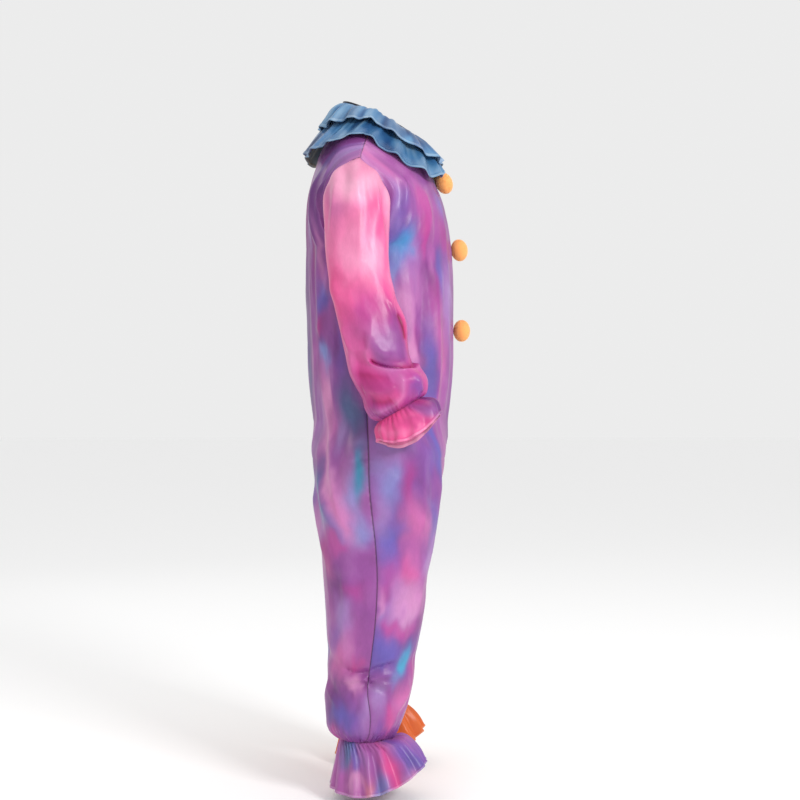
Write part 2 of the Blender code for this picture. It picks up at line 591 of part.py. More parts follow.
def wall_mesh(name, outer, inner, closed):
    """A closed wall between two grids of points. Rows never close, and columns may."""
    columns, rows = outer.shape[:2]
    mesh = bmesh.new()
    sheets = []
    for grid in (outer, inner):
        points = grid.copy()
        points[..., 2] -= NECK_HEIGHT
        sheets.append([[mesh.verts.new(point) for point in column] for column in points])
    spans = columns if closed else columns - 1
    for sheet in sheets:
        for column in range(spans):
            here, there = sheet[column], sheet[(column + 1) % columns]
            for row in range(rows - 1):
                mesh.faces.new((here[row], there[row], there[row + 1], here[row + 1]))
    above, below = sheets
    for column in range(spans):
        after = (column + 1) % columns
        for row in (0, rows - 1):
            mesh.faces.new((above[column][row], above[after][row],
                            below[after][row], below[column][row]))
    if not closed:
        for column in (0, columns - 1):
            for row in range(rows - 1):
                mesh.faces.new((above[column][row], above[column][row + 1],
                                below[column][row + 1], below[column][row]))
    bmesh.ops.recalc_face_normals(mesh, faces=mesh.faces)
    data = bpy.data.meshes.new(name)
    mesh.to_mesh(data)
    mesh.free()
    return data


def add_object(name, data, material):
    """Places a piece in the garment's collection with its own material."""
    data.materials.append(material)
    piece = bpy.data.objects.new(name, data)
    bpy.data.collections[COLLECTION].objects.link(piece)
    return piece


def add_wall(name, outer, normals, material, half=RIGHT, closed=False, thickness=CLOTH):
    """Adds a wall of cloth, mirrored to the wearer's left where its half is LEFT."""
    inner = outer - normals * thickness
    mirror = np.array([-half, 1, 1])
    return add_object(name, wall_mesh(name, outer * mirror, inner * mirror, closed), material)


def add_panels(half, name, material):
    """Adds the front and back panels of one half."""
    for label, (grid, normals) in zip(("front", "back"), half_panels(half)):
        add_wall(f"{label}_{name}", grid, normals, material, half)


def add_sleeve(half, name, material):
    """Adds a sleeve, drawn back from the armhole so that its wall clears the panels' edges."""
    grid = sleeve_grid(half)
    normals = grid_normals(grid, -1, closed=True)
    grid[:, 0] += unit(grid[:, 1] - grid[:, 0]) * (SEAM_GAP + CLOTH)
    add_wall(f"sleeve_{name}", grid, normals, material, half, closed=True)


def add_limb_frills(half, name, cuff_material, ankle_material):
    """Adds the frills below the wrist and ankle elastics of one half."""
    cuff = limb_frill_grid(CUFF_FRILL, wrist_ring, CUFF_WAVES, CUFF_SWING)
    ankle = limb_frill_grid(ANKLE_FRILL, ankle_ring, ANKLE_WAVES, ANKLE_SWING)
    frills = (("cuff_frill", cuff, cuff_material), ("ankle_frill", ankle, ankle_material))
    for label, grid, material in frills:
        normals = grid_normals(grid, -1, closed=True)
        add_wall(f"{label}_{name}", grid, normals, material, half, closed=True)


def add_collar(materials):
    """Adds the neck binding and the two tiers of the collar."""
    tiers = (("collar_upper_frill", COLLAR_UPPER, UPPER_SAG, UPPER_SPREAD, UPPER_WAVES, UPPER_SWING),
             ("collar_lower_frill", COLLAR_LOWER, LOWER_SAG, LOWER_SPREAD, LOWER_WAVES, LOWER_SWING))
    for name, table, sag, spread, waves, swing in tiers:
        grid = collar_grid(table, sag, spread, waves, swing)
        normals = grid_normals(grid, -1)
        add_wall(name, grid, normals, materials["satin_blue"])
    grid = binding_grid()
    normals = grid_normals(grid, 1)
    add_wall("neck_binding", grid, normals, materials["binding_navy"], thickness=BINDING_THICK)


def add_pompom(name, height, material):
    """Adds a pompom: a core with a lock standing out of each of its faces."""
    mesh = bmesh.new()
    core = POMPOM_RADIUS * POMPOM_CORE
    bmesh.ops.create_icosphere(mesh, subdivisions=2, radius=core)
    faces = list(mesh.faces)
    side = faces[0].edges[0].calc_length()
    bmesh.ops.inset_individual(mesh, faces=faces, thickness=side * LOCK_TAPER,
                               depth=POMPOM_RADIUS - core, use_even_offset=False)
    bmesh.ops.scale(mesh, verts=mesh.verts, vec=(1, POMPOM_PROUD / POMPOM_RADIUS, 1))
    data = bpy.data.meshes.new(name)
    mesh.to_mesh(data)
    mesh.free()
    pompom = add_object(name, data, material)
    table = TORSO if height < TORSO["height"][0] else CENTRE
    forward = read(table, "front", height)
    lean = math.atan2(forward - read(table, "front", height + POMPOM_RADIUS), POMPOM_RADIUS)
    away = POMPOM_PROUD + POMPOM_OFF
    pompom.rotation_euler.x = -lean
    pompom.location = (0, -forward - away * math.cos(lean),
                       height - NECK_HEIGHT + away * math.sin(lean))


def add_materials():
    """Makes one Principled material for each kind of cloth."""
    made = {}
    for place, name in enumerate(MATERIALS["name"]):
        material = bpy.data.materials.new(name)
        material.use_nodes = True
        shader = material.node_tree.nodes["Principled BSDF"]
        shader.inputs["Base Color"].default_value = (*MATERIALS["colour"][place], 1)
        shader.inputs["Roughness"].default_value = MATERIALS["roughness"][place]
        shader.inputs["Metallic"].default_value = 0
        made[name] = material
    return made


def build():
    """Builds the whole garment."""
    for piece in list(bpy.data.objects):
        bpy.data.objects.remove(piece)
    collection = bpy.data.collections.new(COLLECTION)
    bpy.context.scene.collection.children.link(collection)
    materials = add_materials()
    body = {RIGHT: materials["satin_tie_dye"], LEFT: materials["satin_orange"]}
    arm = {RIGHT: materials["satin_pink"], LEFT: materials["satin_yellow_orange"]}
    for half, name in ((RIGHT, "right"), (LEFT, "left")):
        add_panels(half, name, body[half])
        add_sleeve(half, name, arm[half])
        add_limb_frills(half, name, arm[half], body[half])
    add_collar(materials)
    for name, height in zip(POMPOMS["name"], POMPOMS["height"]):
        add_pompom(name, height, materials["pompom_orange"])


build()
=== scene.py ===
"""The looks of a satin clown jumpsuit: thin shells of cloth on the frame's walls, and its pompoms.

Units are metres, in the frame's axes: +Z is up, the front faces -Y, the wearer's right is -X and the
origin is the middle of the neck opening. The tables give heights above the floor. Each shell follows
the same sections as its solid, more finely, with its creases, seams, hems and dye added.
"""
import math

import bmesh
import bpy
import numpy as np
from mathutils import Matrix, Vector


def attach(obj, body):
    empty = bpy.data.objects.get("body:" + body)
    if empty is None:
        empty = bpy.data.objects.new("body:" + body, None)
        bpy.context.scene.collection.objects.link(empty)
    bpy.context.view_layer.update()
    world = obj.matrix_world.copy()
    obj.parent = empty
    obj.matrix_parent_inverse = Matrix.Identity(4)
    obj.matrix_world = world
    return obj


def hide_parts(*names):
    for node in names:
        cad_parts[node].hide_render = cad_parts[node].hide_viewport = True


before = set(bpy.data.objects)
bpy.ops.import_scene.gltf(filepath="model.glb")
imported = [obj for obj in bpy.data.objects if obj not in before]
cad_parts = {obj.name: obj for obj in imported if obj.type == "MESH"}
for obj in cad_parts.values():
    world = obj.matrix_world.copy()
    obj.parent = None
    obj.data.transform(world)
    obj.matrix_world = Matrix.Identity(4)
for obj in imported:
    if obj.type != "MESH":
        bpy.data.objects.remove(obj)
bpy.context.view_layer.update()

TURN = 2 * math.pi

# ---------------------------------------------------------------------------- sizes of the garment

NECK_HEIGHT = 1.547  # the origin's height above the floor
SATIN = 0.0007  # thickness of the cloth
HEM = 0.0021  # thickness of a rolled hem
HEM_WIDTH = 0.0040
SOLID_WALL = 0.0016  # thickness of the solids' walls
SEAM_GAP = 0.0003

FRONT, BACK = -1, 1
RIGHT, LEFT = -1, 1

# Neck opening: it slopes down towards the front.
NECK_HALF_WIDTH = 0.078
NECK_HALF_DEPTH = 0.086
NECK_SLOPE = 0.49
SHOULDER_AT_NECK = math.radians(100)  # round the neck from the centre front
BACK_OPENING = math.radians(0.6)  # half the slit at the centre back of the binding and collar
BINDING_THICK = 0.002
BINDING_TOP, BINDING_LOW = 0.005, 0.0125  # above and below the neck ring
BINDING_EDGE = 0.04  # the least that is left of its roundness at its edges
BINDING_RIPPLE, BINDING_RIPPLES, BINDING_ROUND = 0.0003, 60, 0.5
NECKLINE_DROP = 0.015  # the panels' neckline lies this far below the neck ring

SHOULDER_TIP = (0.225, 0.040, 1.427)
SHOULDER_DIP, SHOULDER_ROUND = 0.005, 0.005  # the seam sinks by the neck and bows up by the tip
NECK_SHARE = {FRONT: 0.45, BACK: 0.30}  # of the rows above the underarm, those that end at the neck
CHEST_OUT, CHEST_DOWN = 1.25, 0.80  # how early these rows come forward, and how early they sink
CHEST_EDGE = 1.3  # how close to a panel's edges these rows keep to the neckline and the armhole

# Armhole: a loop round the shoulder, seen from the side.
ARMHOLE_TOP, ARMHOLE_LOW = SHOULDER_TIP[2], 1.240
ARMHOLE_FRONT, ARMHOLE_BACK = -0.024, 0.120
ARMHOLE_BOW = 0.008  # the loop's front and back lie nearer the neck
ARMHOLE_PEAK = {FRONT: 3.0, BACK: 1.33}  # above 1, the loop's upper half narrows to a peak

# Half width, front and back reach, and the side seam's place from front to back.
TORSO = {
    "height": (1.240, 1.170, 1.070, 0.960, 0.900, 0.850, 0.760),
    "half_width": (0.198, 0.200, 0.205, 0.212, 0.216, 0.218, 0.217),
    "front": (0.166, 0.170, 0.171, 0.170, 0.165, 0.160, 0.150),
    "back": (0.171, 0.172, 0.168, 0.166, 0.161, 0.155, 0.148),
    "seam": (0.040, 0.037, 0.033, 0.029, 0.027, 0.025, 0.022),
}
# The centre front and centre back edges above the underarm.
CENTRE = {
    "height": (1.590, 1.540, 1.500, 1.456, 1.411, 1.371, 1.331, 1.270, 1.240),
    "front": (0.040, 0.066, 0.088, 0.107, 0.125, 0.141, 0.151, 0.162, 0.166),
    "back": (0.082, 0.108, 0.129, 0.147, 0.157, 0.164, 0.168, 0.170, 0.171),
}
LEG = {
    "height": (0.860, 0.760, 0.670, 0.594, 0.503, 0.396, 0.327, 0.251, 0.190, 0.155, 0.136),
    "middle": (0.109, 0.110, 0.118, 0.125, 0.134, 0.143, 0.148, 0.152, 0.155, 0.157, 0.158),
    "half_width": (0.108, 0.108, 0.107, 0.104, 0.099, 0.092, 0.087, 0.084, 0.083, 0.076, 0.056),
    "front": (0.161, 0.150, 0.135, 0.126, 0.1135, 0.097, 0.083, 0.0735, 0.056, 0.040, 0.0266),
    "back": (0.157, 0.148, 0.139, 0.132, 0.127, 0.120, 0.117, 0.114, 0.118, 0.110, 0.0858),
    "seam": (0.025, 0.022, 0.013, 0.008, 0.003, 0.008, 0.016, 0.024, 0.018, 0.022, 0.0296),
}
FORK_TOP, CROTCH = 0.850, 0.760  # the centre seams turn under between these heights
ANKLE = 0.136
THIGH = 0.560  # below this height a leg's sections are plain rings
FORK_FACING = 0.27  # the share of a row that faces the other leg at the crotch
FORK_SOFTNESS = 0.15  # how far the corner between that share and the rest is rounded
FORK_SIDE = 0.25  # the share of a row by the side seam that isn't drawn towards the other leg
FORK_FULLNESS = 0.035  # how much further the front and back stand out, where that corner is rounded
TORSO_ROUNDNESS, LEG_ROUNDNESS = 0.80, 0.90  # 1 is an ellipse, less is fuller at the corners


# Sleeve rings from the armhole to the wrist: the outer and inner points seen from the front, the
# front and back edges seen from the side, and how far the front stands above the ring's middle.
SLEEVE = {
    "outer": (0.2250, 0.2520, 0.2750, 0.2890, 0.2990, 0.3060, 0.3120, 0.3180, 0.3240, 0.3290,
              0.3330, 0.3350, 0.3370, 0.3400, 0.3410, 0.3370, 0.3260),
    "outer_height": (1.4270, 1.4100, 1.3800, 1.3400, 1.2900, 1.2350, 1.1750, 1.1200, 1.0650,
                     1.0150, 0.9850, 0.9680, 0.9480, 0.9240, 0.9020, 0.8840, 0.8730),
    "inner": (0.1980, 0.2030, 0.2070, 0.2105, 0.2135, 0.2165, 0.2200, 0.2240, 0.2290, 0.2340,
              0.2370, 0.2390, 0.2410, 0.2440, 0.2490, 0.2600, 0.2740),
    "inner_height": (1.2400, 1.2310, 1.2210, 1.2080, 1.1900, 1.1650, 1.1250, 1.0850, 1.0400,
                     0.9990, 0.9730, 0.9580, 0.9410, 0.9190, 0.8980, 0.8810, 0.8710),
    "front": (-0.024, -0.0245, -0.024, -0.023, -0.0215, -0.0215, -0.028, -0.0425, -0.060,
              -0.063, -0.066, -0.073, -0.088, -0.1025, -0.106, -0.102, -0.093),
    "back": (0.120, 0.1225, 0.121, 0.1185, 0.117, 0.114, 0.1065, 0.0965, 0.084,
             0.0730, 0.067, 0.062, 0.051, 0.036, 0.029, 0.016, -0.0014),
    "lift": (0, 0, 0, 0, 0, 0, 0.003, 0.005, 0.007, 0.010, 0.013, 0.016, 0.020, 0.024, 0.027,
             0.028, 0.0268),
}

# Frill rings: outer and inner (from X = 0), front and back (from Y = 0), and their heights.
# Each starts from the elastic's own ring, so that ring isn't in its table.
CUFF_FRILL = {
    "outer": (0.3520, 0.3640),
    "inner": (0.2500, 0.2400),
    "front": (-0.1230, -0.1370),
    "back": (0.0050, 0.0020),
    "outer_height": (0.8440, 0.8100),
    "inner_height": (0.8370, 0.7940),
    "front_height": (0.8930, 0.8660),
    "back_height": (0.8300, 0.8060),
}
ANKLE_FRILL = {
    "outer": (0.2290, 0.2480, 0.2620),
    "inner": (0.0940, 0.0800, 0.0700),
    "front": (-0.0590, -0.0890, -0.1070),
    "back": (0.0915, 0.0975, 0.1040),
    "outer_height": (0.1150, 0.0740, 0.0320),
    "inner_height": (0.1120, 0.0700, 0.0260),
    "front_height": (0.1370, 0.1080, 0.0840),
    "back_height": (0.1130, 0.0730, 0.0260),
}
COLLAR_UPPER = {
    "side": (0.0815, 0.1030, 0.1330),
    "side_place": (0.0000, 0.0100, 0.0200),
    "side_height": (1.5480, 1.5560, 1.5330),
    "front": (-0.0900, -0.1170, -0.1430),
    "front_height": (1.5060, 1.4880, 1.4560),
    "back": (0.0900, 0.1160, 0.1410),
    "back_height": (1.5905, 1.5730, 1.5270),
}
COLLAR_LOWER = {
    "side": (0.0820, 0.1040, 0.1350, 0.1670),
    "side_place": (0.0000, 0.0100, 0.0230, 0.0350),
    "side_height": (1.5430, 1.5340, 1.5150, 1.4940),
    "front": (-0.0905, -0.1100, -0.1280, -0.1410),
    "front_height": (1.5010, 1.4860, 1.4640, 1.4390),
    "back": (0.0900, 0.1120, 0.1440, 0.1700),
    "back_height": (1.5855, 1.5550, 1.5150, 1.4730),
}
# Frills: their sections, how many waves go round, how far these swing at the hem, how high the fine
# pleats by the elastic are, and in metres how long a frill is and how far it goes round.
FRILLS = {
    "cuff_frill": {"table": CUFF_FRILL, "waves": 11, "swing": 0.0045, "pleats": 0.0010,
                   "length": 0.060, "round": 0.36},
    "ankle_frill": {"table": ANKLE_FRILL, "waves": 15, "swing": 0.0080, "pleats": 0.0022,
                    "length": 0.120, "round": 0.55},
    # A tier hangs lower between its front and its sides, and also stands further out there, by a share.
    "collar_upper_frill": {"table": COLLAR_UPPER, "waves": 18, "swing": 0.0055, "pleats": 0.0020,
                           "length": 0.060, "round": 1.1, "sag": 0.024, "spread": 0.13},
    "collar_lower_frill": {"table": COLLAR_LOWER, "waves": 20, "swing": 0.0060, "pleats": 0.0020,
                           "length": 0.110, "round": 1.1, "sag": 0.054, "spread": 0.21},
}
SAG_BEHIND = 0.50  # between its sides and the back a tier's sag and spread are this share of that
SAG_PEAK = 2.0  # 1 / the largest value of sin(a) * cos(a)
SWING_GROWTH = 0.8  # below 1, a wave opens early on its way from the gathers to the hem
WAVE_UNEVEN = {
    "share": (0.30, 0.22),  # of the swing
    "times": (3, 7),  # round the piece
    "start": (0.7, 2.0),
}
WAVE_DRIFT, DRIFT_TIMES = 0.5, 4  # how far waves crowd together and spread apart, in radians

# Gathers at the elastics, above the frills: how many, how deep and how far up.
GATHER_SWING = 0.0022
GATHER_REACH = 0.045
SLEEVE_GATHER_ROWS = (3, 1, 0)  # they start, are deepest and end this many rings above the wrist

# Folds: start round, start height, end round, end height, half width and rise, in thousandths.
# On the body: round from the centre front (0) by the side seam (1) to the centre back (2).
BODY_FOLDS = {
    RIGHT: np.array((
        (600, 1220, 660, 840, 26, -7), (420, 1160, 450, 900, 26, 4), (780, 1380, 840, 1270, 18, 5),
        (1420, 1400, 1470, 1060, 22, 8), (1200, 1300, 1240, 1020, 24, -8),
        (1700, 820, 1250, 620, 26, 6), (1550, 660, 1200, 500, 26, 5), (400, 700, 550, 480, 28, -5),
        (1040, 285, 1500, 330, 20, -6), (1000, 283, 600, 310, 20, -5), (1450, 240, 1700, 210, 20, 5),
    )) / 1000,
    LEFT: np.array((
        (560, 1200, 640, 880, 26, -6), (380, 1120, 460, 860, 26, 5), (760, 1360, 860, 1260, 18, 5),
        (1400, 1390, 1460, 1070, 22, 8), (1220, 1280, 1200, 1000, 24, -7),
        (1600, 800, 1300, 640, 26, 6), (1500, 600, 1150, 460, 26, -5), (450, 660, 520, 440, 28, 5),
        (1040, 310, 1450, 350, 20, -5), (980, 300, 620, 270, 20, -5),
    )) / 1000,
}
BODY_ROUND = 0.33  # metres for one step round
CENTRE_PLAIN = 0.25  # the share of a panel by its centre seam over which folds fade out
SHOULDER_PLAIN = (0.010, 0.070)  # folds fade in between these depths below the shoulder tip
SHOULDER_LEAST = 0.25  # the share of them that is left above that
# Creases fade in over these metres beside an edge, from this share of their rise.
CENTRE_FADE, SIDE_FADE, ARMHOLE_FADE = (0.030, 0.15), (0.012, 0.25), (0.03, 0.2)
# On a sleeve: round in turns from the outer side (0) by the front (0.25) and the body side.
SLEEVE_FOLDS = {
    RIGHT: np.array((
        (-120, 973, 200, 966, 16, -10), (-50, 1040, 20, 990, 16, 6), (120, 945, -80, 915, 18, 6),
        (220, 1110, 120, 1060, 18, -5), (-200, 1130, -50, 1080, 22, 5), (400, 1060, 600, 1020, 22, 4),
    )) / 1000,
    LEFT: np.array((
        (-150, 980, 180, 962, 16, -9), (-20, 1050, 50, 1000, 16, 6), (100, 940, -120, 920, 18, 6),
        (200, 1100, 100, 1070, 18, -5), (-180, 1150, -20, 1110, 22, 5), (420, 1080, 580, 1030, 22, 4),
    )) / 1000,
}
SLEEVE_ROUND = 0.41  # metres for one turn
SLEEVE_FOLD_FROM = -0.3  # the turn from which the folds' places are counted
CAP_PLEAT_RISE = 0.0025
CAP_PLEAT_ROWS = (0, 1, 3, 6)  # pleats start, reach their full rise, keep it and fade out
CAP_PLEAT_REACH = 0.2  # how far round past the front and back they run, as a cosine

POMPOMS = {
    "name": ("pompom_top", "pompom_middle", "pompom_bottom"),
    "height": (1.396, 1.243, 1.056),
}
POMPOM_RADIUS, POMPOM_PROUD = 0.0265, 0.0205  # across and half its depth
POMPOM_OFF = 0.0008  # from its back to the cloth

# ----------------------------------------------------------------------------- creases and drapes

# Creases finer than the solids' folds, on the right half: start round, start height, end round, end
# height, bow, half width, lean and rise, in these parts of a step or turn and of a metre. A bow bends
# a crease sideways by its middle, and a lean above 0 makes it soft on its left, seen from its start
# to its end, and steep on its right.
CREASE_UNITS = (1000, 1000, 1000, 1000, 1000, 10000, 10, 10000)
BODY_CREASES = np.array((
    (1300, 1470, 1170, 1385, -6, 75, 5, 50), (1170, 1385, 1240, 1250, 6, 75, 4, 55),
    (1240, 1250, 1420, 1100, 4, 80, 3, 35), (1100, 1430, 1070, 1360, 3, 60, -3, 30),
    (880, 1452, 980, 1330, 5, 65, -4, 42), (720, 1440, 900, 1300, 8, 95, -4, 34),
    (640, 1400, 840, 1250, 6, 100, -3, 22), (500, 1400, 620, 1180, 4, 140, 3, 35),
    (740, 1200, 720, 980, 6, 100, 2, 28), (580, 1200, 600, 860, -6, 120, -2, -35),
    (460, 1120, 500, 820, 4, 130, 2, 32), (300, 1150, 280, 850, 4, 150, -2, 30),
    (800, 1020, 820, 860, 4, 110, 2, 30), (1480, 960, 1300, 770, -8, 110, 3, 40),
    (1300, 780, 1140, 600, -8, 100, 4, 45), (1520, 830, 1240, 600, -10, 130, 3, 45),
    (1600, 720, 1340, 520, -8, 130, 3, 35), (1140, 870, 1220, 740, 5, 80, 2, -30),
    (1020, 815, 1140, 800, 3, 55, 4, 22), (1020, 790, 1120, 755, 4, 55, 4, 20),
    (1010, 762, 1070, 735, 2, 50, 3, 18), (990, 775, 920, 750, 3, 60, 3, 12),
    (980, 740, 860, 700, 4, 90, 3, 14), (700, 780, 760, 560, 8, 120, 2, 32),
    (500, 760, 560, 500, 6, 130, -2, 32), (900, 660, 860, 440, -6, 120, 2, -30),
    (1120, 580, 1200, 420, 6, 110, -2, 28), (800, 440, 840, 300, 5, 100, 2, 25),
    (930, 288, 1240, 302, 4, 52, 5, -52), (940, 280, 1240, 268, -4, 50, 5, 50),
    (950, 272, 1160, 236, -5, 50, -5, -44), (1070, 288, 800, 314, 4, 52, 5, -50),
    (1060, 280, 780, 285, 3, 48, -5, 44), (1050, 274, 840, 242, 4, 50, 4, -42),
    (1060, 245, 1140, 190, 4, 60, 3, -30), (1450, 270, 1200, 215, -6, 90, 3, 30),
    (600, 260, 780, 200, 5, 80, 3, 30), (1700, 1300, 1660, 1000, 6, 200, 2, 28),
    (1840, 1100, 1780, 800, 6, 150, -2, 30), (160, 700, 220, 400, 5, 120, 2, 28),
    (1800, 660, 1760, 400, 5, 120, 2, 28),
)) / CREASE_UNITS
SLEEVE_CREASES = np.array((
    (-10, 1412, -85, 1245, 4, 75, 4, 13), (5, 1415, -45, 1262, 3, 65, 3, 14),
    (25, 1415, 10, 1320, 2, 55, -3, 13), (50, 1412, 75, 1315, 3, 50, -3, 20),
    (80, 1400, 145, 1270, 4, 60, -4, 30), (115, 1360, 190, 1220, 3, 60, -3, 28),
    (-75, 1385, -150, 1240, 5, 75, 4, 24), (60, 1195, -60, 1160, 6, 120, 3, 14),
    (-160, 1190, -30, 1130, -6, 120, 3, 18), (125, 1112, 140, 1072, 2, 50, 3, 26),
    (120, 938, 170, 908, 2, 45, 3, 24), (-190, 1060, -120, 990, 6, 90, 3, 30),
    (420, 1120, 560, 1060, 6, 110, 3, 40), (400, 1000, 600, 980, 6, 80, 5, -70),
    (380, 960, 560, 930, 6, 90, 4, 46),
)) / CREASE_UNITS
# Creases that wind: the places they pass through (round, height), their half width at the start
# and at the end, their lean, how far they push the cloth out, and how much painted shade lies in
# them; below 0 it is a painted highlight along the crest.
SLEEVE_WINDING = (
    (((0.000, 1.087), (-0.010, 1.0525), (-0.020, 1.029), (-0.038, 1.008), (-0.057, 0.989),
      (-0.054, 0.973), (-0.020, 0.962), (0.026, 0.957), (0.094, 0.958), (0.175, 0.962),
      (0.240, 0.965), (0.300, 0.970)), (0.0060, 0.0034), 0.0, 0.0058, -0.12),
    (((-0.030, 1.030), (-0.024, 1.000), (0.020, 0.980), (0.090, 0.978), (0.170, 0.982)),
     (0.0080, 0.0050), 0.0, -0.0030, 0.05),
    (((-0.045, 0.982), (-0.030, 0.973), (0.020, 0.966), (0.090, 0.965), (0.170, 0.969),
      (0.240, 0.973), (0.310, 0.980)), (0.0024, 0.0028), 0.3, -0.0046, 0.38),
    (((-0.040, 1.040), (-0.050, 1.020), (-0.054, 0.998)), (0.0050, 0.0040), 0.0, -0.0026, 0.08),
    (((0.160, 1.082), (0.170, 1.0525), (0.190, 1.022)), (0.0048, 0.0044), 0.0, -0.0034, 0.46),
    (((0.057, 0.950), (0.040, 0.923), (0.030, 0.9015), (0.003, 0.891), (-0.026, 0.882),
      (-0.076, 0.873), (-0.157, 0.865)), (0.0046, 0.0060), 0.0, 0.0084, -0.20),
    (((-0.160, 0.914), (-0.100, 0.9095), (-0.055, 0.909), (0.012, 0.921)),
     (0.0080, 0.0070), 0.0, 0.0050, -0.08),
    (((-0.150, 0.947), (-0.060, 0.943), (0.005, 0.938)), (0.0085, 0.0070), 0.0, -0.0032, 0.16),
    (((-0.140, 0.890), (-0.060, 0.887), (-0.020, 0.894)), (0.0075, 0.0060), 0.0, -0.0036, 0.20),
)
CREASE_LEAN = 0.45  # how much steeper one side of a leaning crease is than the other
CREASE_CREST = 0.45  # how round its crest is
CREASE_BESIDE, CREASE_TROUGH = 2.2, 0.40  # the trough beside its ridge: how far off and how deep
CREASE_END, CREASE_TIP = 0.30, 0.10  # the share over which its ends fade, and how blunt they are
CREASE_DEPTH = 1.35  # how much deeper the creases of a worn suit are than the tables say
WINDING_STEPS = 70  # how many straight steps a winding crease is measured in
WINDING_END = 0.12  # the share over which its ends fade
LEFT_MOVED, LEFT_HIGHER, LEFT_EVEN = 0.03, 0.012, 0.85  # how the left half's creases differ
LEFT_PACES = (2.4, 1.9, 3.1, 1.3)  # how fast these changes vary from crease to crease, in radians

# Drapes: uneven soft ridges all over a piece, each kind at its own size.
DRAPES = {
    "across": (0.055, 0.026, 0.011),  # metres from ridge to ridge
    "along": (0.450, 0.160, 0.045),
    "lean": (0.04, -0.10, 0.25),  # metres across for a metre of height
    "rise": (0.0026, 0.0010, 0.00028),
}
DRAPE_CREST = 0.12  # how round a ridge is at its crest
SLEEVE_DRAPED = 0.55  # the share of this that a sleeve has
FEWEST_RIDGES = 3  # round a tube

# Seams: the cloth sinks and puckers along them, and lies in shade there. Widths are in metres.
SEAM_SINK, SEAM_SINK_WIDTH = 0.0008, 0.0018
PUCKER_RISE, PUCKER_LENGTH, PUCKER_REACH = 0.0006, 0.016, 0.012
SEAM_SHADE, SEAM_SHADE_WIDTH = 0.36, 0.0010
HEM_HIGHLIGHT = 0.24  # how much paler a hem is painted: a painted highlight along its rolled edge

# Fine pleats by an elastic: how many in a turn, how deep and how far they run from it.
LEG_PLEATS, WRIST_PLEATS = 46, 40
PLEAT_RISE, PLEAT_REACH = 0.0022, 0.050
PLEAT_FADE = (0.006, 0.25)  # as for creases beside an edge
PLEAT_WANDER, PLEAT_UNEVEN = (1.1, 0.03), (0.6, 0.05)  # how much, and over how many metres
WRIST_PLEATED = 0.5  # the share of this rise that the wrist has
FRILL_PLEATS = 3  # fine pleats by the elastic for each wave of a frill
ELASTIC_SINK, ELASTIC_WIDTH = 0.0012, 0.004
TUCK_IN, TUCK_UP = 0.0030, 0.0024  # how far a frill's edge is tucked in under the elastic

# How finely each piece is made: its faces across and down.
PANEL_COLUMNS = 76
EDGE_COLUMN = 0.004  # one more column lies this share of the width from each edge
MIDDLE_EDGE = 0.002  # a panel's points this near the middle lie on the edge where the halves meet
CHEST_ROWS, TORSO_ROWS, FORK_ROWS, LEG_ROWS = 56, 74, 16, 136
SLEEVE_COLUMNS, SLEEVE_ROWS = 160, 176
LIMB_WAVE_POINTS, COLLAR_WAVE_POINTS, FRILL_ROWS = 16, 18, 26
BINDING_COLUMNS, BINDING_ROWS = 180, 8
LEG_GATHERS, SLEEVE_GATHERS = 10, 9  # as on the solids

# Frills: how their waves wander, and how far their pleats run.
WAVE_DRIFT_SCENE = 0.9  # on top of the drift that the solids' waves have
WAVE_SHARP, SHARP_START = 0.35, 0.6  # a second, finer wave: its share of the swing and its phase
WAVE_BROAD = 0.65  # the share of the swing that wanders in and out, over two waves at a time
WAVE_SOFT = (0.85, 0.45)  # how much of the solids' swing cloth keeps, and how much that varies
COLLAR_CALM = 0.85  # the share of it that the collar's waves keep at the wearer's sides
FRILL_PLEAT_START, FRILL_PLEAT_END = 0.08, 0.75  # the shares of its length where its pleats run
FRILL_PLEAT_WANDER, FRILL_PLEAT_UNEVEN = 1.4, 0.7  # in radians, and as a share of their rise
HEM_LEAD = 1.25  # the last plain row lies this many hem widths above the edge
# The hem's rows: how far up the hem each is, and how much of the hem's thickness it has.
HEM_ROWS = {"up": (1.0, 0.72, 0.45, 0.20, 0.0), "share": (1.0, 1.0, 1.0, 0.9, 0.4)}

DYE_SPREAD = 0.8  # larger for narrower patches
DYE_CLOUDS = ((0.042, 1.0), (0.017, 0.45), (0.008, 0.16))  # the size of a cloud, and its share
DYE_HAZE, DYE_DEPTH = 0.10, 0.07  # how much paler or deeper its clouds make the dye
CLOUD_TALL, HAZE_TALL = 1.8, 1.6  # how much taller than wide they are at edges, and in the haze
DYE_MOTTLE, MOTTLES = 0.012, ((0.006, 0.016), (0.0025, 0.006))  # how strong, how wide and how tall
DYE_SHOWN = (0.71, 0.82)  # how much of a dye's light its flecks give back in the studio
SHADE_DEEPENS = 2.0  # how strongly a share of shade deepens a colour
COLLAR_STREAK_SHADING = 0.22  # how much lighter or darker the streaks down the collar are: partly its dye's tone, partly painted highlight and painted shade of its folds
COLLAR_STREAKS = (0.017, 0.060)  # how wide and how long they are
STREAK_START, STREAK_FINE = 3, 0.5  # finer ones, half as wide and long, have this share of that
# The wrong side: how far it pales towards a light grey, and how much of its own grey that keeps.
WRONG_SIDE_PALE, WRONG_SIDE_LIGHT, WRONG_SIDE_OWN = 0.30, 0.80, 0.25
THREADS = {"right": "thread_pink", "left": "thread_orange"}
STITCH_STEP, STITCH_LENGTH, STITCH_RADIUS = 0.0038, 0.0028, 0.00032
STITCH_SIDE, STITCH_TOP, STITCH_UNDER = 0.6, 1.7, 0.4  # how far out or in its middle is, in radii
SHOULDER_ROW = 2  # the row of a panel along which the shoulder's stitches run
SHOULDER_STITCHED = (6, -3)  # the first of its points that they run by, and the end
EDGE_ANGLE = math.radians(50)  # a sharper edge than this isn't smoothed
LATTICE = 64  # how many cells of noise there are before it repeats

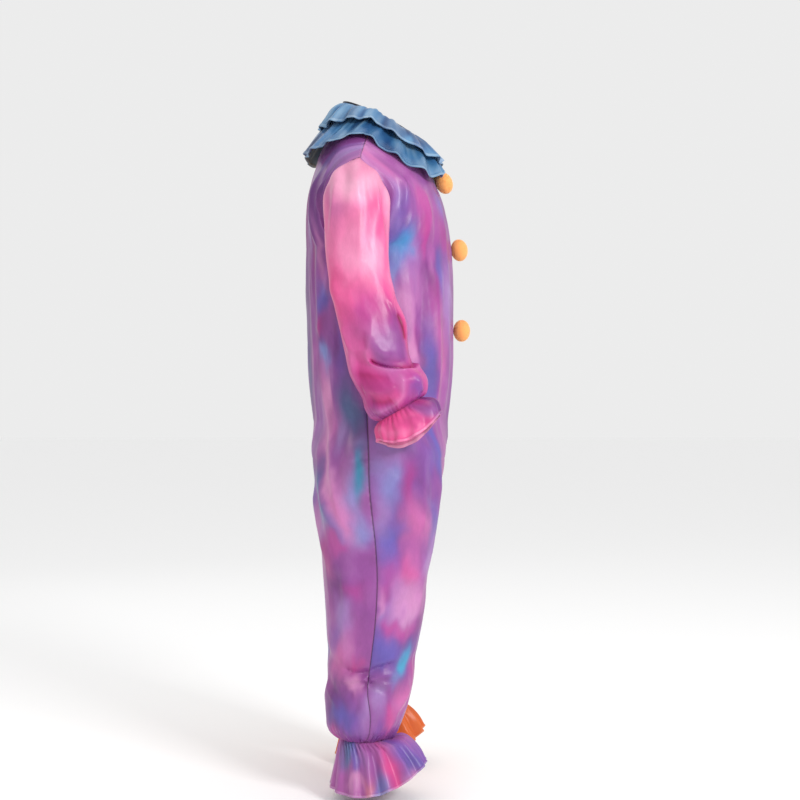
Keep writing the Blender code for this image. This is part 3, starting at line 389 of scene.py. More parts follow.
PILE_STRANDS = 13000
PILE_WIDTH = 0.00030
PILE_CORE, CORE_FINENESS = 0.935, 4  # the ball under the pile, as a share of the pompom
PILE_ROOT, PILE_SHORT = 0.92, 0.955  # where strands start, and where the shortest one ends
PILE_TANGLE = 0.06  # how much the strands lean
PILE_SHADES = (0.94, 1.05)  # how much the strands differ in colour

SEEDS = {FRONT: 11, BACK: 23, "sleeve": 37, "cuff_frill": 53, "ankle_frill": 67, "collar_upper_frill": 83,
         "collar_lower_frill": 97, "binding": 101, "dye": 131, "strewn": 151, "pompom_top": 171,
         "pompom_middle": 181, "pompom_bottom": 191}
LEFT_SEED = 7  # further on for the left half

SHINE = 0.36
CLOTHS = {  # roughness, sheen, anisotropy and the depth of its crinkles
    "satin": (0.36, 0.03, 0.4, 0.0009),
    "collar_satin": (0.28, 0.05, 0.4, 0.0009),
    "wrong_side": (0.62, 0.06, 0.0, 0.0007),
    "binding": (0.60, 0.15, 0.0, 0.0005),
    "thread": (0.55, 0.20, 0.0, 0.0002),
}
# The noises of a cloth: scale, stretch along each axis and detail.
FLECKS = (420, (1, 1, 0.25), 3.0)
WEAR = (26, (1, 1, 0.6), 3.0)
WEAVE = (1500, (1, 1, 0.10), 1.0)
CRINKLES = (60, (1, 1, 0.5), 4.0)
WORN = 0.06  # how much rougher or smoother wear makes a cloth
WEAVE_DEPTH, WEAVE_BUMP, CRINKLE_BUMP = 0.00012, 0.35, 0.8

CAMERA_PLACE = (-3.4, -0.0471, 0.893 - NECK_HEIGHT)
CAMERA_LENS = 64.9
FLOOR_SIZE, FLOOR_LIGHT = 60.0, 0.985
WORLD_STRENGTH = 0.84
LIGHTS = {
    "name": ("key", "fill", "top", "back"),
    "place": ((-3.2, -2.4, 1.2), (-3.0, 2.4, 0.4), (-0.3, -0.2, 2.4), (3.0, 1.5, 1.2)),
    "aim": ((0, 0, -0.6), (0, 0, -0.8), (0, 0, -0.6), (0, 0, -0.5)),
    "size": (1.1, 2.5, 2.0, 2.5),
    "power": (108.0, 2.0, 11.0, 7.0),
}

# ------------------------------------------------------------------------------------ the dyes

DYES = {  # as seen in soft light, sRGB 0 to 255
    "purple": (153, 79, 157), "plum": (98, 42, 118), "wine": (148, 55, 128), "orchid": (180, 95, 170),
    "magenta": (190, 62, 148), "raspberry": (178, 42, 122), "hot": (240, 82, 150),
    "fuchsia": (212, 72, 148), "pink": (216, 112, 176), "candy": (242, 124, 176),
    "rose": (233, 156, 205), "blush": (250, 184, 212), "cream": (208, 188, 200),
    "coral": (232, 132, 150), "lilac": (168, 134, 196), "violet": (122, 84, 178),
    "iris": (104, 94, 184), "sky": (126, 152, 214), "steel": (94, 126, 176), "slate": (66, 98, 140),
    "blue": (68, 146, 206), "cyan": (78, 172, 212), "turquoise": (62, 150, 186),
    "gold": (250, 186, 92), "amber": (246, 152, 62), "flame": (232, 108, 44), "rust": (206, 84, 42),
    "apricot": (253, 208, 134), "honey": (252, 174, 78), "butter": (254, 222, 150),
    "collar": (64, 116, 164), "collar_light": (104, 162, 206), "collar_deep": (42, 78, 126),
    "navy": (18, 24, 44), "pompom": (255, 180, 98), "pompom_tip": (255, 214, 140),
    "thread_pink": (236, 120, 180), "thread_orange": (238, 140, 60), "thread_blue": (120, 168, 208),
}


def patch_rows(rows):
    """A table of patches in the units that dyed() takes, from whole numbers."""
    patches = []
    for place, height, width, tall, dye, strength, *tilt in rows:
        sizes = (value / 1000 for value in (place, height, width, tall))
        patches.append((*sizes, *(tilt or [0]), dye, strength / 100))
    return tuple(patches)


# Patches of dye: how far round, the height above the floor, half the width and half the height, in
# thousandths of a step or turn and of a metre, the dye, its strength in hundredths, and the tilt in
# degrees of a patch that leans forward at its top. Each covers a part of those before it. A few,
# marked where they stand, are painted shade.
# On the body: round from the centre front (0) by the side seam (1) to the centre back (2).
RIGHT_PATCHES = patch_rows((
    (800, 1455, 45, 30, "rose", 70), (870, 1400, 24, 55, "pink", 75, 20), (970, 1430, 16, 45, "rose", 55),
    (620, 1400, 50, 45, "orchid", 70, 30), (920, 1340, 12, 50, "lilac", 60, 10),
    (450, 1350, 45, 55, "orchid", 55, 10), (600, 1335, 35, 28, "magenta", 60),
    (810, 1220, 40, 80, "iris", 80, 18), (700, 1240, 16, 60, "lilac", 75),
    (580, 1262, 13, 52, "magenta", 90, 4), (490, 1240, 14, 70, "orchid", 75),
    (765, 1248, 21, 38, "blue", 95, 20), (830, 1180, 13, 50, "sky", 70, 14),
    (900, 1120, 20, 60, "violet", 60), (385, 1180, 18, 52, "iris", 85), (300, 1100, 30, 90, "lilac", 65),
    (400, 1000, 26, 95, "pink", 75), (670, 1150, 20, 60, "orchid", 70), (750, 1080, 26, 60, "rose", 60),
    (610, 1050, 14, 100, "purple", 70), (540, 960, 17, 90, "iris", 88), (700, 1000, 18, 30, "rose", 80),
    (320, 870, 36, 70, "orchid", 60), (470, 880, 12, 60, "fuchsia", 30), (750, 880, 50, 55, "violet", 55),
    (880, 745, 50, 45, "purple", 85), (800, 790, 20, 30, "plum", 45), (500, 800, 11, 80, "iris", 85),
    (360, 740, 26, 90, "orchid", 70), (400, 640, 22, 50, "magenta", 55), (300, 660, 30, 80, "pink", 60),
    (450, 520, 50, 60, "pink", 65), (800, 690, 16, 60, "magenta", 80), (780, 625, 40, 45, "pink", 85),
    (800, 520, 32, 45, "pink", 80), (600, 650, 16, 40, "iris", 60), (930, 705, 20, 45, "sky", 70),
    (720, 690, 50, 50, "plum", 22), (935, 590, 18, 60, "iris", 92, 8), (975, 640, 14, 50, "lilac", 70),
    (840, 510, 36, 30, "fuchsia", 55), (600, 545, 30, 40, "lilac", 60), (930, 520, 14, 35, "violet", 50),
    (780, 440, 50, 55, "rose", 80), (950, 475, 14, 30, "magenta", 50), (985, 440, 10, 45, "rose", 60),
    (980, 395, 8, 20, "sky", 60), (850, 386, 46, 18, "magenta", 85, 10), (520, 410, 30, 60, "orchid", 60),
    (1240, 345, 50, 80, "pink", 40), (900, 342, 44, 30, "iris", 85), (725, 318, 18, 30, "cyan", 95, 8),
    (800, 282, 20, 22, "sky", 75, 30), (560, 270, 22, 50, "magenta", 65), (700, 235, 30, 30, "pink", 85),
    (800, 195, 26, 22, "fuchsia", 75), (930, 228, 16, 40, "lilac", 80), (880, 165, 20, 16, "violet", 50),
    (1030, 1465, 14, 30, "pink", 60), (1220, 1430, 22, 26, "lilac", 65),
    (1140, 1395, 24, 40, "plum", 75, 25), (1400, 1330, 32, 90, "plum", 88),
    (1600, 1330, 30, 90, "violet", 60), (1540, 1225, 18, 60, "wine", 90),
    (1380, 1220, 11, 65, "rose", 55), (1420, 1125, 22, 32, "iris", 90),
    (1460, 1062, 24, 22, "magenta", 75), (1420, 992, 26, 26, "sky", 90),
    (1600, 1000, 26, 60, "orchid", 70), (1440, 900, 27, 60, "rose", 92),
    # The slate patch on this line is a painted shadow that the sleeve casts on the back.
    (1200, 1000, 30, 60, "violet", 75), (1130, 865, 38, 65, "slate", 85, -12),
    (1220, 815, 18, 35, "lilac", 80), (1110, 785, 12, 20, "cream", 35), (1090, 690, 20, 50, "sky", 60),
    (1028, 728, 14, 50, "turquoise", 95), (1400, 800, 24, 45, "rose", 80, -10),
    (1300, 720, 18, 65, "rose", 85, -20), (1200, 640, 16, 45, "pink", 75, -20),
    (1380, 670, 18, 70, "steel", 88, -22), (1560, 700, 22, 60, "iris", 60, -10),
    (1240, 575, 24, 18, "magenta", 80), (1080, 605, 20, 30, "sky", 65), (1100, 530, 28, 32, "purple", 75),
    (1340, 540, 20, 40, "fuchsia", 50), (1140, 470, 28, 22, "magenta", 55),
    (1400, 440, 30, 50, "orchid", 60), (1220, 405, 24, 45, "lilac", 85), (1300, 360, 20, 30, "iris", 40),
    (1220, 305, 34, 42, "pink", 70), (1080, 300, 14, 14, "fuchsia", 60), (1100, 262, 13, 18, "rose", 80),
    (1450, 300, 20, 60, "magenta", 50), (1220, 192, 42, 26, "iris", 90, 8),
    (1050, 215, 12, 20, "lilac", 60), (1360, 150, 20, 14, "magenta", 60),
    # These three dark patches by the centre back are painted shade on the side turned from the light.
    (1780, 1330, 35, 100, "wine", 70), (1800, 1120, 35, 120, "plum", 80),
    (1800, 930, 30, 100, "slate", 60),
))
LEFT_PATCHES = patch_rows((
    (100, 1180, 45, 160, "gold", 80), (500, 1380, 50, 60, "apricot", 70, 20),
    (850, 1200, 30, 80, "flame", 70), (600, 1050, 30, 90, "amber", 80), (750, 860, 40, 60, "rust", 55),
    (400, 700, 40, 90, "gold", 70), (850, 560, 35, 70, "apricot", 70), (600, 400, 40, 60, "flame", 65),
    (800, 240, 40, 45, "rust", 60), (1300, 1330, 45, 80, "flame", 75), (1550, 1150, 35, 90, "gold", 65),
    (1200, 980, 30, 80, "rust", 55), (1450, 800, 40, 70, "apricot", 65, -15),
    (1200, 640, 35, 60, "flame", 65), (1400, 430, 35, 70, "gold", 65), (1250, 240, 40, 50, "rust", 60),
))
# On the sleeves and frills: round in turns from the outer side (0) by the front (0.25).
RIGHT_SLEEVE_PATCHES = patch_rows((
    (0, 895, 400, 100, "magenta", 90), (0, 1085, 400, 85, "hot", 60), (0, 1395, 400, 70, "blush", 40),
    (20, 1030, 60, 50, "magenta", 60), (50, 985, 40, 30, "purple", 80), (0, 1365, 46, 42, "blush", 80),
    (-35, 1345, 28, 35, "blush", 75), (70, 1285, 28, 50, "hot", 55), (220, 1320, 14, 60, "blush", 60),
    (140, 1285, 20, 55, "hot", 95, -14), (180, 1215, 14, 50, "hot", 85, -8),
    (-30, 1250, 30, 40, "candy", 80), (-20, 1205, 45, 45, "blush", 40), (70, 1170, 26, 40, "blush", 30),
    (-180, 1120, 26, 85, "hot", 85, -10), (100, 1105, 32, 40, "hot", 80, -10),
    (50, 1105, 30, 20, "fuchsia", 60), (10, 1110, 20, 30, "candy", 60), (-30, 1075, 16, 22, "orchid", 60),
    (-110, 1020, 36, 60, "fuchsia", 90), (65, 1020, 30, 55, "purple", 90),
    (35, 1085, 22, 30, "fuchsia", 85), (85, 990, 30, 25, "purple", 90), (200, 1050, 10, 40, "hot", 70),
    # The raspberry patch on this line is painted shade deep in the fold's slit.
    (172, 1052, 8, 30, "raspberry", 80, -6), (-8, 1055, 20, 40, "fuchsia", 75),
    # The faint plum patch on this line is painted shade that dims the key light's highlight there.
    (65, 1000, 30, 40, "purple", 80), (45, 1030, 45, 50, "plum", 26), (30, 925, 16, 22, "magenta", 70),
    (-80, 1335, 40, 45, "candy", 35), (-60, 1380, 30, 30, "blush", 30), (50, 1060, 50, 50, "magenta", 45),
    (50, 905, 40, 16, "raspberry", 40), (-100, 955, 46, 30, "fuchsia", 75),
    (-70, 925, 46, 16, "raspberry", 80), (50, 940, 34, 24, "magenta", 80), (-50, 905, 30, 10, "hot", 55),
    (140, 945, 22, 16, "fuchsia", 60), (110, 905, 26, 18, "violet", 65), (-60, 868, 60, 14, "purple", 92),
    (-180, 890, 30, 20, "raspberry", 60), (500, 1150, 60, 80, "fuchsia", 60),
    (450, 960, 60, 50, "orchid", 60),
))
LEFT_SLEEVE_PATCHES = patch_rows((
    (20, 1350, 50, 55, "butter", 80), (150, 1250, 22, 60, "amber", 80, -10),
    (-100, 1200, 40, 50, "apricot", 70), (-150, 1080, 30, 60, "amber", 70),
    (60, 1040, 36, 50, "flame", 65), (0, 950, 60, 30, "amber", 70), (-50, 885, 60, 20, "flame", 70),
    (500, 1100, 60, 90, "honey", 60),
))
RIGHT_ANKLE_PATCHES = patch_rows((
    (-110, 112, 34, 26, "steel", 85), (-70, 90, 10, 36, "iris", 70), (-170, 52, 30, 30, "orchid", 80),
    (-70, 46, 22, 14, "rose", 80), (-25, 50, 6, 24, "coral", 75), (5, 55, 10, 40, "sky", 75),
    (45, 104, 16, 26, "hot", 95), (60, 62, 14, 34, "hot", 90), (120, 112, 30, 20, "violet", 92),
    (150, 78, 34, 26, "iris", 85), (105, 50, 16, 20, "rose", 80), (250, 100, 50, 30, "violet", 80),
    (450, 70, 60, 30, "magenta", 60),
))
RIGHT_CUFF_PATCHES = patch_rows((
    # The plum and purple patches on this line are the cuff's purple dye, deepened by painted shade.
    (200, 885, 46, 26, "plum", 95), (130, 878, 30, 18, "purple", 85), (240, 855, 30, 8, "orchid", 70),
    (-50, 835, 60, 8, "candy", 50), (50, 850, 40, 8, "raspberry", 40), (550, 840, 60, 20, "magenta", 60),
))
# For each piece: the patches, the dye below them, and a material slot's name.
WORN_ON = {
    RIGHT: {"body": (RIGHT_PATCHES, "purple", "satin_tie_dye"),
            "sleeve": (RIGHT_SLEEVE_PATCHES, "candy", "satin_pink"),
            "cuff": (RIGHT_CUFF_PATCHES, "hot", "satin_pink"),
            "ankle": (RIGHT_ANKLE_PATCHES, "orchid", "satin_tie_dye")},
    LEFT: {"body": (LEFT_PATCHES, "amber", "satin_orange"),
           "sleeve": (LEFT_SLEEVE_PATCHES, "honey", "satin_yellow_orange"),
           "cuff": ((), "amber", "satin_yellow_orange"),
           "ankle": ((), "flame", "satin_orange")},
}
# Faint patches are strewn over each piece below those, so that its hidden sides are dyed too.
STREWN = {
    "body_right": ("orchid", "magenta", "lilac", "iris", "pink", "violet", "rose", "plum", "sky"),
    "body_left": ("gold", "flame", "apricot", "amber", "rust", "honey"),
    "sleeve_right": ("blush", "hot", "candy", "fuchsia", "orchid"),
    "sleeve_left": ("butter", "honey", "amber", "apricot", "gold"),
    "collar": ("collar_light", "collar_deep", "collar", "steel"),
}
# How many there are, where they lie round and in height, and how strong they are.
STREWN_OVER = {
    "body": (90, (0, 2), (0.13, 1.55), 0.55),
    "sleeve": (36, (-0.3, 0.7), (0.88, 1.42), 0.55),
    "collar": (44, (0.7, 1.8), (0, 0.10), 0.80),  # from the neck down
}
STREWN_SIZE, STREWN_TALL, STREWN_TILT = (0.018, 0.045), (0.8, 2.2), 18
DYE_WANDER, WANDER_UP = 0.013, 1.6  # how far a patch's edge wanders across, and that much more up
DYE_FEATHER = 1.25  # above 1, a patch is even at its middle and feathered at its edge


def seed_of(piece, half):
    """Where the random draws of a piece on one half start."""
    return SEEDS[piece] + (0 if half == RIGHT else LEFT_SEED)


def bell(away, width):
    """1 on a line, and less the further away from it, at this width."""
    return np.exp(-(away / width) ** 2)


def unit(vectors):
    """The vectors, each at length 1."""
    return vectors / np.maximum(np.linalg.norm(vectors, axis=-1, keepdims=True), 1e-12)


def curve(start, end, leaving, arriving, share, step=1):
    """A place on a smooth curve between two points, by the slopes there and the step between them."""
    bend = leaving * share * (1 - share) ** 2 - arriving * share ** 2 * (1 - share)
    start = start * (1 + 2 * share) * (1 - share) ** 2
    return start + end * share ** 2 * (3 - 2 * share) + step * bend


def read(table, column, height):
    """Reads a column at any height on a smooth curve through the table's rows."""
    keys = np.array(table["height"], float)
    values = np.array(table[column], float)
    if keys[0] > keys[-1]:
        keys, values = keys[::-1], values[::-1]
    slopes = np.gradient(values, keys)
    height = np.clip(height, keys[0], keys[-1])
    row = np.clip(np.searchsorted(keys, height) - 1, 0, len(keys) - 2)
    step = keys[row + 1] - keys[row]
    share = (height - keys[row]) / step
    return curve(values[row], values[row + 1], slopes[row], slopes[row + 1], share, step)


def ease(share):
    """A step from 0 to 1 that starts and ends level."""
    share = np.clip(share, 0, 1)
    return share * share * (3 - 2 * share)


def fade_in(reach, fade):
    """The share of their rise that creases have at metres from an edge."""
    return ease(reach / fade[0] + fade[1])


def rounded(value, roundness):
    """A cosine or sine made fuller, for a rounded section."""
    return np.sign(value) * np.abs(value) ** roundness


def torso_row(across, side, height, roundness=TORSO_ROUNDNESS):
    """One level of a torso panel, from the centre seam (0) to the side seam (1)."""
    seam = read(TORSO, "seam", height)
    reach = read(TORSO, "front" if side == FRONT else "back", height) - side * seam
    angle = across * math.pi / 2
    x = -read(TORSO, "half_width", height) * rounded(np.sin(angle), roundness)
    y = seam + side * reach * rounded(np.cos(angle), roundness)
    return np.stack([x, y, np.full_like(x, height)], axis=-1)


def leg_ring_row(across, side, height):
    """One level of a leg panel on a plain ring, from the inseam (0) to the side seam (1)."""
    seam = read(LEG, "seam", height)
    reach = read(LEG, "front" if side == FRONT else "back", height) - side * seam
    angle = across * math.pi
    roundness = np.interp(height, (ANKLE, ANKLE + GATHER_REACH), (1, LEG_ROUNDNESS))
    x = read(LEG, "half_width", height) * rounded(np.cos(angle), roundness)
    y = seam + side * reach * rounded(np.sin(angle), roundness)
    return np.stack([x - read(LEG, "middle", height), y, np.full_like(x, height)], axis=-1)


def above_zero(value, softness):
    """The larger of the value and 0, with the corner between them rounded off."""
    return (value + np.sqrt(value * value + softness * softness)) / 2


def forked_row(across, side, height, under, slide):
    """A level of the torso whose centre seam has turned under, by a share of its way.

    The columns near the seam face the other leg, and the rest slide along towards the side seam.
    """
    facing = FORK_FACING * slide
    softness = FORK_SOFTNESS * math.sqrt(slide)
    round_torso = above_zero((across - facing) / (1 - facing), softness)
    start, end = (above_zero(value, softness) for value in (-facing / (1 - facing), 1))
    round_torso += (0 - start) * (1 - across) + (1 - end) * across
    row = torso_row(np.clip(round_torso, 0, 1), side, height)
    row[:, 1] += FORK_FULLNESS * slide * (row[:, 1] - read(TORSO, "seam", height))
    turned = above_zero(1 - across / max(facing, 1e-6), softness) / above_zero(1, softness)
    turned *= ease((1 - across) / FORK_SIDE)
    row[:, 1] += turned * under * (read(LEG, "seam", height) - row[:, 1])
    return row


def fork_row(across, side, turn):
    """A row where the centre seam turns under to the crotch, at 0 to 90 degrees of its turn."""
    down = math.sin(turn)
    height = FORK_TOP - (FORK_TOP - CROTCH) * down
    return forked_row(across, side, height, 1 - math.cos(turn), float(ease(down)))


def leg_row(across, side, height):
    """One level of a leg panel, which turns from the crotch's section into a plain ring."""
    crotch = forked_row(across, side, CROTCH, 1, 1)
    crotch[:, 2] = height
    ringed = leg_ring_row(across, side, height)
    return crotch + (ringed - crotch) * ease((CROTCH - height) / (CROTCH - THIGH))


def neck_point(angle, out, drop):
    """A point round the neck opening, from the centre front (0) to the centre back (180)."""
    x = -(NECK_HALF_WIDTH + out) * np.sin(angle)
    y = -(NECK_HALF_DEPTH + out) * np.cos(angle)
    return np.stack([x, y, NECK_HEIGHT + NECK_SLOPE * y - drop], axis=-1)


def armhole_point(side, share):
    """A point of the armhole's front or back half, from the shoulder tip (0) to the underarm (1)."""
    angle = np.asarray(share) * math.pi
    middle = (ARMHOLE_TOP + ARMHOLE_LOW) / 2
    reach = abs((ARMHOLE_FRONT if side == FRONT else ARMHOLE_BACK) - SHOULDER_TIP[1])
    tip, low = SHOULDER_TIP[0], TORSO["half_width"][0]
    x = -(tip + (low - tip) * (1 - np.cos(angle)) / 2 - ARMHOLE_BOW * np.sin(angle))
    peak = np.where(np.cos(angle) > 0, ARMHOLE_PEAK[side], 1.0)
    y = SHOULDER_TIP[1] + side * reach * np.maximum(np.sin(angle), 0) ** peak
    height = middle + (ARMHOLE_TOP - middle) * np.cos(angle)
    return np.stack([x, y, height], axis=-1)


def centre_edge(side, share):
    """The inner edge of the chest or shoulder-blade part: the neckline, then the centre seam."""
    neck_share = NECK_SHARE[side]
    end = 0 if side == FRONT else math.pi
    if share < neck_share:
        angle = SHOULDER_AT_NECK + (end - SHOULDER_AT_NECK) * ease(share / neck_share / 2) * 2
        return neck_point(angle, BINDING_THICK + SOLID_WALL, NECKLINE_DROP)
    top = neck_point(end, BINDING_THICK + SOLID_WALL, NECKLINE_DROP)[2]
    down = (share - neck_share) / (1 - neck_share)
    height = top + (TORSO["height"][0] - top) * down
    reach = side * read(CENTRE, "front" if side == FRONT else "back", height)
    return np.array([0.0, reach, height])


def chest_row(across, side, share):
    """A row over the chest or shoulder blade, from the shoulder seam (0) to the underarm (1)."""
    turn = share * math.pi / 2
    neck = centre_edge(side, 0.0)
    column = across[:, None]
    shoulder = neck + (np.array(SHOULDER_TIP) * (-1, 1, 1) - neck) * column
    bow = SHOULDER_ROUND * across - SHOULDER_DIP * (1 - across)
    shoulder[:, 2] += 2 * bow * np.sin(across * math.pi)
    roundness = 1 + (TORSO_ROUNDNESS - 1) * share
    low = torso_row(across, side, TORSO["height"][0], roundness)
    forward, down = math.sin(turn) ** CHEST_OUT, (1 - math.cos(turn)) ** CHEST_DOWN
    row = shoulder + (low - shoulder) * np.array([forward, forward, down])
    start_off = centre_edge(side, share) - row[0]
    end_off = armhole_point(side, share) - row[-1]
    return row + start_off * (1 - column) ** CHEST_EDGE + end_off * column ** CHEST_EDGE


def grid_normals(grid, outward, closed=False):
    """Unit normals of a grid of points by column and row, on the outer side."""
    if closed:
        across = np.roll(grid, -1, axis=0) - np.roll(grid, 1, axis=0)
    else:
        across = np.gradient(grid, axis=0)
    down = np.gradient(grid, axis=1, edge_order=2)
    return unit(np.cross(across, down)) * outward


def fold_rise(folds, half, around, height, metres_round):
    """How far the folds of one half push the cloth out at each point."""
    rise = np.zeros_like(around)
    for start, start_height, end, end_height, width, top in folds[half]:
        run = np.array([(end - start) * metres_round, end_height - start_height])
        x = (around - start) * metres_round
        y = height - start_height
        along = np.clip((x * run[0] + y * run[1]) / run.dot(run), 0, 1)
        away = np.hypot(x - along * run[0], y - along * run[1])
        rise += top * bell(away, width)
    return rise


def share_normals(first, second):
    """Gives two edges that meet at a seam the same normals."""
    first[:] = second[:] = unit(first + second)


def pull_edge(line, beside, normals):
    """Draws one edge of a piece back from its seam by half the gap."""
    inward = np.cross(np.gradient(line, axis=0), normals)
    inward *= np.sign(np.sum(inward * (beside - line), axis=-1, keepdims=True))
    line += unit(inward) * SEAM_GAP / 2


def ring(outer, inner, front, back, turns):
    """A ring through four points, with its outer point at 0 turns and its front at a quarter."""
    angle = np.asarray(turns)[:, None] * TURN
    cosine, sine = np.cos(angle), np.sin(angle)
    sides, ends = (outer + inner) / 2, (front + back) / 2
    middle = sides * cosine ** 2 + ends * sine ** 2
    return middle + (outer - inner) / 2 * cosine + (front - back) / 2 * sine


def limb_ring(cut, turns):
    """A ring of a sleeve or a frill, from its row of a table."""
    depth = (cut["front"] + cut["back"]) / 2
    across = -(cut["outer"] + cut["inner"]) / 2
    outer = np.array([-cut["outer"], depth, cut["outer_height"]])
    inner = np.array([-cut["inner"], depth, cut["inner_height"]])
    front = np.array([across, cut["front"], cut["front_height"]])
    back = np.array([across, cut["back"], cut["back_height"]])
    return ring(outer, inner, front, back, turns)


def table_row(table, place):
    """One row of a table, by the names of its columns."""
    return {name: values[place] for name, values in table.items()}


def sleeve_ring(place, turns):
    """A ring of the sleeve. Its front stands above its middle by the table's lift."""
    cut = table_row(SLEEVE, place)
    middle = (cut["outer_height"] + cut["inner_height"]) / 2
    cut["front_height"] = middle + cut["lift"]
    cut["back_height"] = middle - cut["lift"]
    return limb_ring(cut, turns)


def wrist_ring(turns):
    """The wrist elastic, where a sleeve ends and its cuff frill starts."""
    return sleeve_ring(-1, turns)


def ankle_ring(turns):
    """The ankle elastic, where the leg panels end and their frill starts."""
    cut = table_row(LEG, -1)
    middle = (cut["back"] - cut["front"]) / 2
    outer = np.array([-cut["middle"] - cut["half_width"], middle, ANKLE])
    inner = np.array([-cut["middle"] + cut["half_width"], middle, ANKLE])
    across = -cut["middle"]
    return ring(outer, inner, np.array([across, -cut["front"], ANKLE]),
                np.array([across, cut["back"], ANKLE]), turns)


def through(rings, places):
    """Rings read at any places between the given ones, on smooth curves down through them."""
    slopes = np.gradient(rings, axis=1)
    row = np.clip(np.floor(places).astype(int), 0, rings.shape[1] - 2)
    share = (places - row)[None, :, None]
    return curve(rings[:, row], rings[:, row + 1], slopes[:, row], slopes[:, row + 1], share)


def cloud(across, down, seed, cells=LATTICE):
    """Smooth noise from -1 to 1 with one cell to a unit. Across, it repeats after so many cells."""
    lattice = np.random.default_rng(seed).uniform(-1, 1, (LATTICE, LATTICE))
    column, row = np.floor(across).astype(int), np.floor(down).astype(int)
    x, y = ease(across - column), ease(down - row)
    left, right = column % cells % LATTICE, (column + 1) % cells % LATTICE
    above, below = row % LATTICE, (row + 1) % LATTICE
    top = lattice[left, above] * (1 - x) + lattice[right, above] * x
    low = lattice[left, below] * (1 - x) + lattice[right, below] * x
    return top * (1 - y) + low * y


def round_cloud(turns, down, seed, cells):
    """Smooth noise that meets itself after one turn, with so many cells round."""
    return cloud(turns * cells, down, seed, cells)


def drape_rise(around, height, metres_round, seed, closed=False):
    """Uneven soft ridges over a piece. Round a tube they meet where the turn ends."""
    rise = np.zeros_like(height)
    for place, (across, along, lean, top) in enumerate(zip(*DRAPES.values())):
        cells = max(round(metres_round / across), FEWEST_RIDGES) if closed else LATTICE
        column = around * cells if closed else around * metres_round / across
        lean_cells = lean / across
        noise = cloud(column + height * lean_cells, height / along, seed + place, cells)
        rise += top * (1 - 2 * np.sqrt(noise * noise + DRAPE_CREST ** 2))
    return rise


def left_changes(order):
    """How a crease of the left half differs: round and up at its start and its end, and its rise."""
    first, second, third, fourth = (pace * order for pace in LEFT_PACES)
    start = (LEFT_MOVED * math.sin(first), LEFT_HIGHER * (1 + math.cos(second)))
    end = (LEFT_MOVED * math.cos(order), LEFT_HIGHER * (1 + math.sin(third)))
    return start, end, LEFT_EVEN + (1 - LEFT_EVEN) * math.sin(fourth)


def crease_rise(creases, half, around, height, metres_round):
    """How far the fine creases of one half push the cloth out at each point."""
    rise = np.zeros_like(height)
    for order, (start, start_height, end, end_height, bow, width, lean, top) in enumerate(creases):
        if half == LEFT:
            at_start, at_end, share = left_changes(order)
            start, start_height = start + at_start[0], start_height + at_start[1]
            end, end_height = end + at_end[0], end_height + at_end[1]
            top *= share
        run = np.array([(end - start) * metres_round, end_height - start_height])
        length = np.hypot(*run)
        x = (around - start) * metres_round
        y = height - start_height
        along = (x * run[0] + y * run[1]) / length ** 2
        inside = np.clip(along, 0, 1)
        side = (x * run[1] - y * run[0]) / length - bow * 4 * inside * (1 - inside)
        beyond = (along - inside) * length
        ends = ease(np.minimum(inside, 1 - inside) / CREASE_END + CREASE_TIP)
        crest, beside = crease_form(side, beyond, width, lean)
        rise += CREASE_DEPTH * top * ends * (crest - CREASE_TROUGH * beside)
    return rise


def crease_form(side, beyond, width, lean):
    """The crest of a crease and the trough beside it, from 0 to 1, at metres to the side of it."""
    steep = width * (1 - CREASE_LEAN * lean * np.tanh(side / width))
    crest = np.exp(CREASE_CREST - np.sqrt((side / steep) ** 2 + CREASE_CREST ** 2))
    beside = bell(side - CREASE_BESIDE * width * np.sign(lean), width)
    fade = bell(beyond, width)
    return crest * fade, beside * fade


def winding_rise(creases, half, around, height, metres_round):
    """How far winding creases push the cloth out, and their painted shade (below 0, painted highlight).
    """
    rise, dark = np.zeros_like(height), np.zeros_like(height)
    points = np.stack([around * metres_round, height], axis=-1)
    for order, (places, widths, lean, top, shade) in enumerate(creases):
        line = np.array(places)
        if half == LEFT:
            moved, _, share = left_changes(order)
            line, top = line + moved, top * share
        line = line * (metres_round, 1)
        line = through(line[None], np.linspace(0, len(places) - 1, WINDING_STEPS + 1))[0]
        along = unit(np.gradient(line, axis=0))
        nearest = np.argmin(((points[..., None, :] - line) ** 2).sum(axis=-1), axis=-1)
        away, way = points - line[nearest], along[nearest]
        side = away[..., 0] * way[..., 1] - away[..., 1] * way[..., 0]
        beyond = np.where(nearest % WINDING_STEPS == 0, (away * way).sum(axis=-1), 0)
        share = nearest / WINDING_STEPS
        width = widths[0] + (widths[1] - widths[0]) * share
        ends = ease(np.minimum(share, 1 - share) / WINDING_END + CREASE_TIP)
        crest, beside = crease_form(side, beyond, width, lean)
        rise += CREASE_DEPTH * top * ends * (crest - CREASE_TROUGH * beside)
        dark += shade * ends * crest
    return rise, dark


def reach_from(grid, axis, end):
    """Metres along the cloth from one edge of a grid, at each point."""
    steps = np.linalg.norm(np.diff(grid, axis=axis), axis=-1)
    if end:
        steps = np.flip(steps, axis)
    first = np.zeros_like(np.take(steps, [0], axis))
    reach = np.concatenate([first, np.cumsum(steps, axis=axis)], axis=axis)
    return np.flip(reach, axis) if end else reach


def seam_rise(reach, along, seed):
    """The cloth sinks towards a seam, and puckers beside it. Along is metres along the seam."""
    wander = cloud(along / PUCKER_LENGTH, 0 * along, seed)
    pucker = PUCKER_RISE * np.sin(TURN * along / PUCKER_LENGTH + 2 * wander)
    return pucker * bell(reach, PUCKER_REACH) - SEAM_SINK * bell(reach, SEAM_SINK_WIDTH)


def pleated(turns, pleats, wander):
    """Rounded pleats with sharp valleys, from -1 to 1, so many in a turn."""
    return 1 - 2 * np.abs(np.sin(math.pi * pleats * turns + wander))


